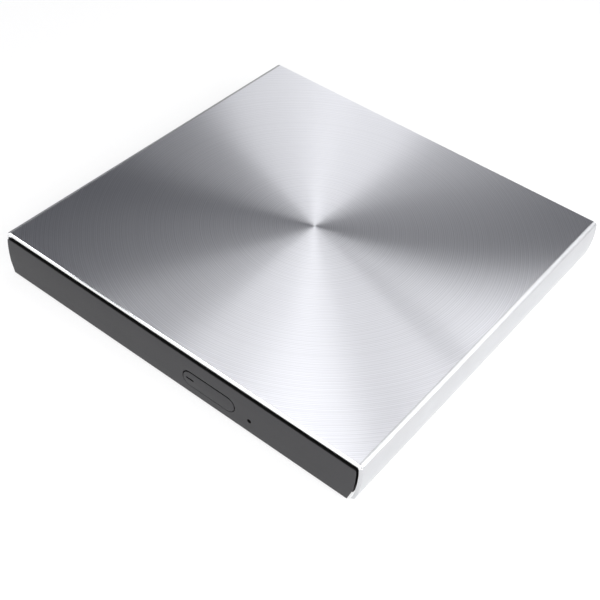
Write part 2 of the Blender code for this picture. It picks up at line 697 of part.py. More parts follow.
def make_button(finish, carrier):
    front = -HALF_DEPTH
    outline = pill(BUTTON_HALF_WIDTH, BUTTON_HALF_HEIGHT, 0, 0, 10)
    edge = 0.3 * MM
    sections = [
        [(x, front, z) for x, z in inset(outline, edge)],
        [(x, front + edge, z) for x, z in outline],
        [(x, BUTTON_BACK_Y, z) for x, z in outline],
    ]
    moved = [[(x, y - front, z) for x, y, z in section] for section in sections]
    button = loft("eject_button", moved, finish, carrier, (BUTTON_X, front, BUTTON_Z))
    join(button, block("button_stem", around(BUTTON_X, STEM_HALF_WIDTH),
                       (BUTTON_BACK_Y - edge, STEM_BACK_Y), around(BUTTON_Z, STEM_HALF_HEIGHT),
                       None, carrier))
    cut(button, block("light_slot", around(LIGHT_X, LIGHT_HALF_WIDTH + GAP),
                      (front - CUT_MARGIN, BUTTON_BACK_Y + CUT_MARGIN),
                      around(BUTTON_Z, LIGHT_HALF_HEIGHT + GAP), None, carrier))
    return button


def make_front_electronics(clear, light, black, board, carrier):
    top = BOARD_TOP - BOARD_THICK - GAP
    block("indicator_lens", around(LIGHT_X, LIGHT_HALF_WIDTH),
          (-HALF_DEPTH + 0.1 * MM, STEM_BACK_Y), around(BUTTON_Z, LIGHT_HALF_HEIGHT),
          clear, carrier)
    block("indicator_led", around(LIGHT_X, LED_HALF_WIDTH), LED_Y, (LED_BOTTOM, top), light,
          carrier)
    block("eject_switch", around(BUTTON_X, SWITCH_HALF_WIDTH), SWITCH_Y, (SWITCH_BOTTOM, top),
          black, carrier)
    block("button_board", BUTTON_BOARD_X, BUTTON_BOARD_Y, (BOARD_TOP - BOARD_THICK, BOARD_TOP),
          board, carrier)


def make_main_board(board, black, carrier):
    block("main_board", MAIN_BOARD_X, MAIN_BOARD_Y, (BOARD_TOP - BOARD_THICK, BOARD_TOP),
          board, carrier)
    top = BOARD_TOP - BOARD_THICK - GAP
    block("controller_chip", CHIP_X, CHIP_Y, (top - CHIP_THICK, top), black, carrier)


# ---------------------------------------------------------------- ribbon cable

def make_ribbon(finish, carrier, roller):
    low_top = RIBBON_LOW_Z + RIBBON_THICK
    block("ribbon_lower", RIBBON_X, RIBBON_LOWER_Y, (RIBBON_LOW_Z, low_top), finish)
    block("ribbon_upper", RIBBON_X, RIBBON_UPPER_Y,
          (RIBBON_HIGH_Z, RIBBON_HIGH_Z + RIBBON_THICK), finish, carrier)
    low = low_top + GAP
    high = RIBBON_HIGH_Z - GAP
    outer = (high - low) / 2
    middle = (high + low) / 2
    arc_steps = 10
    outline = [(RIBBON_TAIL, outer)]
    for i in range(arc_steps + 1):
        turn = pi / 2 + pi * i / arc_steps
        outline.append((outer * cos(turn), outer * sin(turn)))
    outline.append((RIBBON_TAIL, -outer))
    inner = outer - RIBBON_THICK
    outline.append((RIBBON_TAIL, -inner))
    for i in range(arc_steps + 1):
        turn = 3 * pi / 2 - pi * i / arc_steps
        outline.append((inner * cos(turn), inner * sin(turn)))
    outline.append((RIBBON_TAIL, inner))
    half = (RIBBON_X[1] - RIBBON_X[0]) / 2
    sections = [[(x, y, z) for y, z in outline] for x in (-half, half)]
    location = ((RIBBON_X[0] + RIBBON_X[1]) / 2, RIBBON_FOLD_Y, middle)
    loft("ribbon_bend", sections, finish, roller, location)


# ---------------------------------------------------------------- traverse

def make_traverse_plate(finish, traverse):
    top = FRAME_BOTTOM + STEEL
    plate = block("traverse_plate", FRAME_U, around(0, FRAME_HALF_WIDTH), (FRAME_BOTTOM, top),
                  finish, traverse)
    for i, v in enumerate((MAIN_ROD_V, SUB_ROD_V)):
        for end, u in (("inner", INNER_POST_U), ("outer", OUTER_POST_U)):
            join(plate, block(f"rod_post_{end}_{i}", u, around(v, POST_HALF_WIDTH),
                              (top - GAP, POST_TOP), None, traverse))
    join(plate, block("screw_post", SCREW_POST_U, around(SCREW_V, SCREW_POST_HALF_WIDTH),
                      (top - GAP, POST_TOP), None, traverse))
    cut(plate, block("frame_window", FRAME_WINDOW_U, FRAME_WINDOW_V,
                     (FRAME_BOTTOM - CUT_MARGIN, top + GAP), None, traverse))
    for i, v in enumerate((MAIN_ROD_V, SUB_ROD_V)):
        cut(plate, rod_x(f"rod_hole_{i}", ROD_RADIUS + GAP, grow(ROD_U, CUT_MARGIN), v, ROD_Z,
                         SMALL, None, traverse))
    for i, (u, v) in enumerate(DAMPER_PLACES):
        cut(plate, cylinder(f"frame_screw_hole_{i}", DAMPER_BORE,
                            (FRAME_BOTTOM - CUT_MARGIN, top + CUT_MARGIN), SMALL, None,
                            traverse, (u, v, 0)))
    return plate


def make_traverse_cover(finish, traverse):
    z = (COVER_BOTTOM, COVER_BOTTOM + STEEL)
    cover = cylinder("traverse_cover", COVER_DISC_RADIUS, z, FINE, finish, traverse)
    join(cover, block("cover_arm", (1 * MM, COVER_END_U), around(0, COVER_HALF_WIDTH), z, None,
                      traverse))
    through = grow(z, CUT_MARGIN)
    cut(cover, cylinder("spindle_hole", CUP_RADIUS + 1 * MM, through, FINE, None, traverse))
    cut(cover, block("lens_slot", LENS_SLOT_U, around(0, LENS_SLOT_HALF_WIDTH), through, None,
                     traverse))
    return cover


def make_dampers(rubber, steel, traverse):
    bottom = FRAME_BOTTOM + STEEL + GAP
    shank_radius = DAMPER_BORE - GAP
    head_top = FRAME_BOTTOM - GAP
    for i, (u, v) in enumerate(DAMPER_PLACES, start=1):
        tube(f"damper_{i}", DAMPER_BORE, DAMPER_RADIUS, (bottom, DAMPER_TOP), SMALL, rubber,
             traverse, (u, v, 0))
        top = THREAD_TOP - GAP
        profile = [(0, top), (shank_radius, top), (shank_radius, head_top),
                   (DAMPER_HEAD_RADIUS, head_top), (DAMPER_HEAD_RADIUS, DAMPER_HEAD_BOTTOM),
                   (0, DAMPER_HEAD_BOTTOM)]
        turned(f"damper_screw_{i}", profile, SMALL, steel, traverse, (u, v, 0))


def make_spindle(metal, steel, rubber, plastic, traverse):
    stator_bottom = FRAME_BOTTOM + STEEL + GAP
    tube("spindle_stator", SHAFT_RADIUS + GAP, CUP_RADIUS - 1 * MM, (stator_bottom, STATOR_TOP),
         ROUND, metal, traverse)
    profile = [(0, NOSE_TOP), (NOSE_RADIUS - NOSE_EDGE, NOSE_TOP),
               (NOSE_RADIUS, NOSE_TOP - NOSE_EDGE), (NOSE_RADIUS, FLANGE_Z[1]),
               (FLANGE_RADIUS, FLANGE_Z[1]), (FLANGE_RADIUS, FLANGE_Z[0]),
               (CUP_RADIUS, FLANGE_Z[0]), (CUP_RADIUS, CUP_BOTTOM),
               (SHAFT_RADIUS, CUP_BOTTOM), (SHAFT_RADIUS, stator_bottom), (0, stator_bottom)]
    rotor = turned("spindle_rotor", profile, ROUND, steel, traverse)
    ring_bottom = FLANGE_Z[1] + GAP
    tube("disc_grip_ring", NOSE_RADIUS + GRIP_RING_WIDTH_IN, FLANGE_RADIUS - GAP,
         (ring_bottom, ring_bottom + GRIP_RING_THICK), ROUND, rubber, traverse)
    for i in range(CLAW_COUNT):
        turn = 2 * pi * i / CLAW_COUNT
        arm = add_empty(f"claw_direction_{i + 1}", (0, 0, 0), (0, 0, turn), traverse)
        cut(rotor, block(f"claw_slot_{i + 1}", (CLAW_R[0] - 1 * MM, CLAW_R[1] + CUT_MARGIN),
                         around(0, CLAW_HALF_WIDTH + GAP),
                         (CLAW_Z[0] - GAP, NOSE_TOP + CUT_MARGIN), None, arm))
        block(f"clamp_claw_{i + 1}", CLAW_R, around(0, CLAW_HALF_WIDTH), CLAW_Z, plastic, arm)


def make_pickup(metal, plastic, glass, traverse):
    sled = block("pickup_sled", SLED_U, SLED_V, SLED_Z, metal, traverse)
    for i, v in enumerate((MAIN_ROD_V, SUB_ROD_V)):
        cut(sled, rod_x(f"sled_bore_{i}", ROD_RADIUS + GAP, grow(SLED_U, CUT_MARGIN), v, ROD_Z,
                        SMALL, None, traverse))
    cut(sled, block("holder_pocket", around(LENS_U, HOLDER_HALF_LENGTH + HOLDER_PLAY),
                    around(0, HOLDER_HALF_WIDTH + HOLDER_PLAY),
                    (HOLDER_Z[0] - HOLDER_POCKET_DEPTH, SLED_Z[1] + CUT_MARGIN), None, traverse))
    block("screw_follower", FOLLOWER_U, (SCREW_V + FOLLOWER_REACH, SLED_V[0] - GAP),
          FOLLOWER_Z, plastic, traverse)
    holder = block("lens_holder", around(LENS_U, HOLDER_HALF_LENGTH),
                   around(0, HOLDER_HALF_WIDTH), HOLDER_Z, plastic, traverse)
    cut(holder, cylinder("lens_seat", LENS_RADIUS + GAP, grow(HOLDER_Z, CUT_MARGIN), SMALL,
                         None, traverse, (LENS_U, 0, 0)))
    profile = [(0, LENS_RIM + LENS_CROWN)]
    crown_steps = 4
    for i in range(1, crown_steps + 1):
        turn = pi / 2 * i / crown_steps
        profile.append((LENS_RADIUS * sin(turn), LENS_RIM + LENS_CROWN * cos(turn)))
    profile += [(LENS_RADIUS, LENS_BASE), (0, LENS_BASE)]
    turned("objective_lens", profile, SMALL, glass, traverse, (LENS_U, 0, 0))


def make_pickup_drive(steel, metal, traverse):
    rod_x("main_guide_rod", ROD_RADIUS, ROD_U, MAIN_ROD_V, ROD_Z, SMALL, steel, traverse)
    rod_x("sub_guide_rod", ROD_RADIUS, ROD_U, SUB_ROD_V, ROD_Z, SMALL, steel, traverse)
    rod_x("lead_screw", LEAD_SCREW_RADIUS, SCREW_U, SCREW_V, ROD_Z, 12, steel, traverse)
    rod_x("stepper_motor", STEPPER_RADIUS, STEPPER_U, SCREW_V, STEPPER_Z, SMALL, metal, traverse)


# ---------------------------------------------------------------- latch

def make_latch(plastic, steel, copper, carrier):
    pivot = add_empty("latch_pivot", (LATCH_X, LATCH_Y, 0), (0, 0, LATCH_SWING), carrier)
    half = LEVER_HALF_WIDTH
    end = LATCH_REACH + LEVER_TOOTH_LENGTH
    outline = [(-half, 0), (half, 0), (half, LATCH_REACH), (LEVER_TOOTH, LATCH_REACH),
               (LEVER_TOOTH, end), (-half, end)]
    lever = prism_z("latch_lever", outline, LATCH_Z, plastic, pivot)
    join(lever, cylinder("lever_hub", LEVER_HUB_RADIUS, LATCH_Z, SMALL, None, pivot))
    cut(lever, cylinder("lever_bore", LEVER_BORE, grow(LATCH_Z, CUT_MARGIN), SMALL, None, pivot))
    cylinder("latch_pin", PIN_RADIUS, (PAN_BOTTOM + STEEL + GAP, PIN_TOP), SMALL, steel,
             location=(LATCH_X + PIN_OFFSET_X, LATCH_Y + PIN_OFFSET_Y, 0))
    solenoid = block("latch_solenoid", SOLENOID_X, SOLENOID_Y, SOLENOID_Z, copper, carrier)
    middle = (SOLENOID_Y[0] + SOLENOID_Y[1]) / 2
    cut(solenoid, rod_x("solenoid_bore", PLUNGER_RADIUS + GAP,
                        (PLUNGER_X[0] - 1 * MM, SOLENOID_X[1] + CUT_MARGIN), middle, PLUNGER_Z,
                        SMALL, None, carrier))
    rod_x("solenoid_plunger", PLUNGER_RADIUS, PLUNGER_X, middle, PLUNGER_Z, SMALL, steel, carrier)


def make_eject_spring(finish):
    curve = bpy.data.curves.new("eject_spring", "CURVE")
    curve.dimensions = "3D"
    curve.bevel_depth = SPRING_WIRE
    curve.bevel_resolution = 1
    curve.use_fill_caps = True
    per_turn = 10
    count = SPRING_TURNS * per_turn + 1
    line = curve.splines.new("POLY")
    line.points.add(count - 1)
    length = SPRING_Y[1] - SPRING_Y[0]
    for i, point in enumerate(line.points):
        turn = 2 * pi * i / per_turn
        along = length * i / (count - 1)
        point.co = (SPRING_RADIUS * cos(turn), along, SPRING_RADIUS * sin(turn), 1.0)
    curve.materials.append(finish)
    spring = bpy.data.objects.new("eject_spring", curve)
    spring.location = (SPRING_X, SPRING_Y[0], SPRING_Z)
    bpy.context.scene.collection.objects.link(spring)


# ---------------------------------------------------------------- rear electronics

def drive_plug_z():
    low = BRIDGE_BOARD_BOTTOM + BOARD_THICK + GAP
    return (low, low + DRIVE_PLUG_HEIGHT)


def usb_middle_z():
    return BRIDGE_BOARD_BOTTOM + BOARD_THICK + GAP + USB_HEIGHT / 2


def usb_outline(wall):
    """Mini-B mouth: full width above, stepped in below."""
    half = USB_HALF_WIDTH - wall
    high = USB_HEIGHT / 2 - wall
    narrow = half - 0.75 * MM
    waist = -0.3 * MM
    return [(half, high), (half, waist), (narrow, waist - 0.75 * MM), (narrow, -high),
            (-narrow, -high), (-narrow, waist - 0.75 * MM), (-half, waist), (-half, high)]


def make_bridge(board, steel, black):
    block("bridge_board", BRIDGE_BOARD_X, BRIDGE_BOARD_Y,
          (BRIDGE_BOARD_BOTTOM, BRIDGE_BOARD_BOTTOM + BOARD_THICK), board)
    block("drive_connector", DRIVE_PLUG_X, DRIVE_PLUG_Y, drive_plug_z(), black)
    place = (USB_X, 0, usb_middle_z())
    socket = prism_y("usb_socket", usb_outline(0.0), USB_Y, steel, location=place)
    floor_y = USB_Y[0] + USB_FLOOR_THICK
    cut(socket, prism_y("usb_mouth", usb_outline(USB_WALL), (floor_y, USB_Y[1] + CUT_MARGIN),
                        None, location=place))
    block("usb_tongue", around(USB_X, TONGUE_HALF_WIDTH), (floor_y + GAP, USB_Y[1] - USB_FLOOR_THICK),
          around(usb_middle_z() + TONGUE_RISE, TONGUE_HALF_HEIGHT), black)


# ---------------------------------------------------------------- the whole drive

def main():
    clear_scene()
    aluminium = material("aluminium", (0.80, 0.81, 0.82), 0.28, 1.0)
    bezel_plastic = material("bezel_plastic", (0.055, 0.055, 0.057), 0.5)
    base_plastic = material("base_plastic", (0.030, 0.030, 0.032), 0.6)
    tray_plastic = material("tray_plastic", (0.022, 0.022, 0.024), 0.5)
    small_plastic = material("small_plastic", (0.012, 0.012, 0.013), 0.4)
    rubber = material("rubber", (0.018, 0.018, 0.018), 0.85)
    sheet_steel = material("sheet_steel", (0.56, 0.57, 0.58), 0.38, 1.0)
    bright_steel = material("bright_steel", (0.70, 0.70, 0.71), 0.18, 1.0)
    motor_metal = material("motor_metal", (0.42, 0.42, 0.43), 0.45, 1.0)
    coil = material("coil", (0.20, 0.12, 0.05), 0.5)
    board = material("circuit_board", (0.010, 0.075, 0.035), 0.45)
    ribbon = material("ribbon", (0.75, 0.76, 0.78), 0.4)
    light_pipe = material("light_pipe", (0.03, 0.03, 0.032), 0.15)
    led = material("led", (0.70, 0.75, 0.65), 0.3)
    glass = material("lens_glass", (0.20, 0.24, 0.40), 0.05)

    carrier = add_empty("tray_carrier", (0, 0, 0))
    roller = add_empty("ribbon_carrier", (0, 0, 0))
    traverse = add_empty("spindle_axis", (0, DISC_CENTRE_Y, 0), (0, 0, TRAVERSE_TURN), carrier)

    make_top_shell(aluminium)
    make_bottom_shell(base_plastic)
    make_rear_cap(base_plastic)
    make_feet(rubber)
    make_case_screws(bright_steel)
    make_drive_chassis(sheet_steel)
    make_drive_cover(sheet_steel)
    make_rails(small_plastic, sheet_steel)
    make_tray(tray_plastic, carrier, traverse)
    make_bezel(bezel_plastic, carrier)
    make_button(bezel_plastic, carrier)
    make_front_electronics(light_pipe, led, small_plastic, board, carrier)
    make_main_board(board, small_plastic, carrier)
    make_ribbon(ribbon, carrier, roller)
    make_traverse_plate(sheet_steel, traverse)
    make_traverse_cover(sheet_steel, traverse)
    make_dampers(rubber, bright_steel, traverse)
    make_spindle(motor_metal, bright_steel, rubber, small_plastic, traverse)
    make_pickup(motor_metal, small_plastic, glass, traverse)
    make_pickup_drive(bright_steel, motor_metal, traverse)
    make_latch(small_plastic, bright_steel, coil, carrier)
    make_eject_spring(bright_steel)
    make_bridge(board, bright_steel, small_plastic)


main()
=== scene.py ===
import json
from math import copysign, cos, pi, radians, sin, sqrt

import bmesh
import bpy
from mathutils import Matrix, Quaternion, Vector

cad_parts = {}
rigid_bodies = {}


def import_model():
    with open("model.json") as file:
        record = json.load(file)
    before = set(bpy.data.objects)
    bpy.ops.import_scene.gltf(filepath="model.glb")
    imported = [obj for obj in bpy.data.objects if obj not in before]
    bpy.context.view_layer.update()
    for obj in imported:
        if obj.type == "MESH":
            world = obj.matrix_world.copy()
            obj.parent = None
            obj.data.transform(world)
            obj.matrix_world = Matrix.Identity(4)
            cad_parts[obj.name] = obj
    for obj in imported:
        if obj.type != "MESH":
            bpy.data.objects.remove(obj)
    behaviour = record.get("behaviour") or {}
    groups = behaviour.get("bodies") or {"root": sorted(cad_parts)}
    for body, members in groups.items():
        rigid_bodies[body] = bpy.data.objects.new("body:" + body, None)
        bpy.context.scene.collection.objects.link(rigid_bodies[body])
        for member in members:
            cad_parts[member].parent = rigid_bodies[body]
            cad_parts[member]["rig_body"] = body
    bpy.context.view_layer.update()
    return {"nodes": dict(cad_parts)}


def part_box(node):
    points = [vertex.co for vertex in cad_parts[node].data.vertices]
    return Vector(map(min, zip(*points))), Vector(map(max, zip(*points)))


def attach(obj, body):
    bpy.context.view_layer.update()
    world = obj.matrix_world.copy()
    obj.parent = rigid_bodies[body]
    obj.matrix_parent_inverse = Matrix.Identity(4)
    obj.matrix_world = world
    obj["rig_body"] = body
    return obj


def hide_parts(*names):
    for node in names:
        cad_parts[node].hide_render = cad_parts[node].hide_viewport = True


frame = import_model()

MM = 0.001
nodes = frame["nodes"]

# Places read from the frame
shell_low, shell_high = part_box("top_shell")
base_low, base_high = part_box("bottom_shell")
bezel_low, bezel_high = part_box("front_bezel")
button_low, button_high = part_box("eject_button")
light_low, light_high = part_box("indicator_lens")
cap_low, cap_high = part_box("rear_cap")
socket_low, socket_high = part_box("usb_socket")
tongue_low, tongue_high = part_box("usb_tongue")
tray_low, tray_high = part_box("tray")
hub_low, hub_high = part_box("spindle_rotor")
board_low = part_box("main_board")[0]
pan_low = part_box("drive_chassis")[0]

# The aluminium cover: flat top, rounded shoulders, gently bulged sides with thin hems
HALF_WIDTH = shell_high.x
TOP_Z = shell_high.z
BASE_Z = shell_low.z
TOP_HALF_WIDTH = 69.5 * MM
PLATE_THICK = 1.3 * MM
SIDE_WALL = 1.0 * MM
SHOULDER_DROP = 1.2 * MM
BULGE_RADIUS = 36.0 * MM
BULGE_Z = 10.6 * MM
LIP_NOSE = 0.28 * MM
LIP_FACET = 0.22 * MM
LIP_FACET_DROP = 0.1 * MM
LIP_DROP = 1.27 * MM
LIP_SIDE_CUT = 0.92 * MM
REAR_CHAMFER = 0.25 * MM
HEM_TOP = 5.4 * MM
HEM_INNER_X = 68.7 * MM
RING_CENTRE = (0.3 * MM, 1.6 * MM)

# The front panel and what sits in it
BEZEL_GAP = 0.40 * MM
BEZEL_ROUND = 0.2 * MM
BEZEL_TAPER = 0.4 * MM
BEZEL_REBATE = 0.8 * MM
BEZEL_TOP_CORNER = 0.6 * MM
BEZEL_TOP_DROP = 0.2 * MM
SEAL_SET_BACK = 0.45 * MM
BUTTON_X = (button_low.x + button_high.x) / 2
BUTTON_Z = (button_low.z + button_high.z) / 2
BUTTON_HALF_WIDTH = (button_high.x - button_low.x) / 2
BUTTON_HALF_HEIGHT = (button_high.z - button_low.z) / 2
BUTTON_BACK_Y = -68.0 * MM
BUTTON_GAP = 0.34 * MM
WINDOW_RISE = 0.2 * MM
LIGHT_X = (light_low.x + light_high.x) / 2
SLOT_HALF = (1.45 * MM, 0.27 * MM)
PINHOLE = (32.5 * MM, 5.8 * MM)
PINHOLE_RADIUS = 0.7 * MM
FLARE = 0.05 * MM

# The tray's deck, and the traverse below it, turned 225 degrees about the spindle
TRAY_WALL = 1.5 * MM
TRAY_HALF_WIDTH = 62.1 * MM
DECK_UNDERSIDE = 9.4 * MM
DECK_TOP = 10.6 * MM
DISC_CENTRE = (0.0, -3.0 * MM)
RECESS_RADIUS = 60.7 * MM
TRAVERSE_TURN = radians(225.0)
RAIL_RIB_Y = (-60 * MM, 54 * MM)
SPRING_BAY_X = (-58.4 * MM, -53.6 * MM)
LATCH_BAY_X = (-30.8 * MM, -27.2 * MM)
POST_PLACE = (-33 * MM, 33 * MM)
SHIELD_RADIUS = 15.7 * MM
SHIELD_END = 58.2 * MM
SHIELD_HALF_WIDTH = 13.2 * MM
SLOT_START = 16.0 * MM
SLOT_HALF_WIDTH = 6.0 * MM
GAP = 0.3 * MM
MARGIN = 2.0 * MM

SIDE_STEPS = 18
FINE = 160
ROUND = 64
SMALL = 32


# ---------------------------------------------------------------- mesh helpers

def box_mesh(x, y, z):
    """A box from three spans; soften() can round its corners afterwards."""
    bm = bmesh.new()
    corners = [[bm.verts.new((a, b, c)) for a, b in
                ((x[0], y[0]), (x[1], y[0]), (x[1], y[1]), (x[0], y[1]))] for c in z]
    low, high = corners
    bm.faces.new(low[::-1])
    bm.faces.new(high)
    for i in range(4):
        j = (i + 1) % 4
        bm.faces.new((low[i], low[j], high[j], high[i]))
    return bm


def lofted(sections, slot_of=None, cap_slot=0):
    """Closed rings of equally many points, joined in turn, with both ends capped."""
    bm = bmesh.new()
    rings = [[bm.verts.new(point) for point in section] for section in sections]
    count = len(rings[0])
    for k, (lower, upper) in enumerate(zip(rings, rings[1:])):
        for i in range(count):
            j = (i + 1) % count
            face = bm.faces.new((lower[i], lower[j], upper[j], upper[i]))
            if slot_of:
                face.material_index = slot_of(k, i)
    for ring in (rings[0], rings[-1]):
        bm.faces.new(ring).material_index = cap_slot
    bmesh.ops.recalc_face_normals(bm, faces=bm.faces)
    return bm


def turned(profile, steps, centre=(0.0, 0.0)):
    """A profile of (radius, z) turned about the vertical through centre; it starts and ends at radius 0."""
    bm = bmesh.new()
    first = bm.verts.new((*centre, profile[0][1]))
    last = bm.verts.new((*centre, profile[-1][1]))
    rings = []
    for radius, z in profile[1:-1]:
        rings.append([bm.verts.new((centre[0] + radius * cos(2 * pi * i / steps),
                                    centre[1] + radius * sin(2 * pi * i / steps), z))
                      for i in range(steps)])
    for i in range(steps):
        j = (i + 1) % steps
        bm.faces.new((first, rings[0][i], rings[0][j]))
        bm.faces.new((last, rings[-1][j], rings[-1][i]))
        for lower, upper in zip(rings, rings[1:]):
            bm.faces.new((lower[i], upper[i], upper[j], lower[j]))
    bmesh.ops.recalc_face_normals(bm, faces=bm.faces)
    return bm


def ring_mesh(profile, steps, centre=(0.0, 0.0)):
    """A closed profile of (radius, z) turned about the vertical through centre, open in the middle."""
    sections = []
    for i in range(steps):
        turn = 2 * pi * i / steps
        sections.append([(centre[0] + r * cos(turn), centre[1] + r * sin(turn), z)
                         for r, z in profile])
    bm = bmesh.new()
    rings = [[bm.verts.new(point) for point in section] for section in sections]
    count = len(profile)
    for k in range(steps):
        this, after = rings[k], rings[(k + 1) % steps]
        for i in range(count):
            j = (i + 1) % count
            bm.faces.new((this[i], this[j], after[j], after[i]))
    bmesh.ops.recalc_face_normals(bm, faces=bm.faces)
    return bm


def prism_z(outline, z):
    return lofted([[(x, y, level) for x, y in outline] for level in z])


def prism_y(outline, y):
    return lofted([[(x, level, z) for x, z in outline] for level in y])


def arc(centre, radius, start, end, steps):
    """Points along an arc, from angle start to angle end."""
    return [(centre[0] + radius * cos(start + (end - start) * i / steps),
             centre[1] + radius * sin(start + (end - start) * i / steps))
            for i in range(steps + 1)]


def rounded_rectangle(a, b, radius, steps=6):
    """A rectangle from two spans, with rounded corners, anticlockwise."""
    points = []
    corners = ((a[1], b[0], -pi / 2), (a[1], b[1], 0.0), (a[0], b[1], pi / 2), (a[0], b[0], pi))
    for x, y, start in corners:
        middle = (x - copysign(radius, x - (a[0] + a[1]) / 2),
                  y - copysign(radius, y - (b[0] + b[1]) / 2))
        points += arc(middle, radius, start, start + pi / 2, steps)
    return points


def pill(half_width, half_height, x, z, steps=16):
    straight = half_width - half_height
    right = arc((x + straight, z), half_height, -pi / 2, pi / 2, steps)
    left = arc((x - straight, z), half_height, pi / 2, 3 * pi / 2, steps)
    return right + left


def inset(outline, amount):
    """Moves a convex outline inwards, each corner along its mitre."""
    count = len(outline)
    area = sum(outline[i - 1][0] * outline[i][1] - outline[i][0] * outline[i - 1][1]
               for i in range(count))
    turn = 1.0 if area > 0 else -1.0
    moved = []
    for i, (x, z) in enumerate(outline):
        before = outline[i - 1]
        after = outline[(i + 1) % count]
        normals = []
        for start, end in ((before, (x, z)), ((x, z), after)):
            dx = end[0] - start[0]
            dz = end[1] - start[1]
            length = sqrt(dx * dx + dz * dz)
            normals.append((-dz / length * turn, dx / length * turn))
        (ax, az), (bx, bz) = normals
        scale = amount / (1.0 + ax * bx + az * bz)
        moved.append((x + (ax + bx) * scale, z + (az + bz) * scale))
    return moved


def flared(outline, grow, y, wall_slot=1):
    """A cutter along Y through y's span; its mouth opens by FLARE, its walls use wall_slot, by default slot
    1, the near-black painted shade inside the cut.
    """
    mouth, back = y
    wide = inset(outline, -grow - FLARE)
    narrow = inset(outline, -grow)
    return lofted([[(x, mouth - MARGIN, z) for x, z in wide],
                   [(x, mouth, z) for x, z in wide],
                   [(x, mouth + FLARE, z) for x, z in narrow],
                   [(x, back, z) for x, z in narrow]],
                  lambda band, point: wall_slot * min(band, 1), 1)


def in_traverse(bm):
    """Turns a mesh from the traverse's own frame (U along the pickup's travel) into place."""
    place = Matrix.Translation((*DISC_CENTRE, 0.0)) @ Matrix.Rotation(TRAVERSE_TURN, 4, "Z")
    bmesh.ops.transform(bm, matrix=place, verts=bm.verts)
    return bm


def merged(meshes):
    """Several closed shells in one mesh."""
    bm = bmesh.new()
    for other in meshes:
        part = bpy.data.meshes.new("part")
        other.to_mesh(part)
        other.free()
        bm.from_mesh(part)
        bpy.data.meshes.remove(part)
    return bm


def solid(name, bm):
    """An object from a bmesh, not yet riding on anything."""
    mesh = bpy.data.meshes.new(name)
    bmesh.ops.recalc_face_normals(bm, faces=bm.faces)
    bm.to_mesh(mesh)
    bm.free()
    piece = bpy.data.objects.new(name, mesh)
    bpy.context.scene.collection.objects.link(piece)
    return piece


def bake_modifiers(piece):
    """Replaces the mesh with what its modifiers make of it."""
    graph = bpy.context.evaluated_depsgraph_get()
    made = bpy.data.meshes.new_from_object(piece.evaluated_get(graph), depsgraph=graph)
    piece.modifiers.clear()
    old = piece.data
    piece.data = made
    bpy.data.meshes.remove(old)


def boolean(piece, bm, operation):
    tool = solid("tool", bm)
    for material in piece.data.materials:
        tool.data.materials.append(material)
    step = piece.modifiers.new("step", "BOOLEAN")
    step.object = tool
    step.operation = operation
    step.solver = "EXACT"
    bake_modifiers(piece)
    bpy.data.objects.remove(tool)


def cut(piece, *meshes):
    for bm in meshes:
        boolean(piece, bm, "DIFFERENCE")


def join(piece, *meshes):
    for bm in meshes:
        boolean(piece, bm, "UNION")


def soften(piece, width, segments=2, angle=35.0):
    """Rounds every edge sharper than angle."""
    for polygon in piece.data.polygons:
        polygon.use_smooth = True
    bevel = piece.modifiers.new("soft_edges", "BEVEL")
    bevel.width = width
    bevel.segments = segments
    bevel.limit_method = "ANGLE"
    bevel.angle_limit = radians(angle)
    bevel.harden_normals = True
    return piece


def paint(piece, *materials):
    for material in materials:
        piece.data.materials.append(material)


def settle(piece, materials, stands_for, body=None, sharp=None):
    """Gives a piece its materials, its body and the CAD nodes that it stands for."""
    if sharp is not None:
        piece.data.shade_smooth()
        piece.data.set_sharp_from_angle(angle=radians(sharp))
    paint(piece, *materials)
    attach(piece, body or nodes[stands_for[0]]["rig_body"])
    if stands_for:
        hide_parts(*stands_for)
    return piece


# ---------------------------------------------------------------- materials

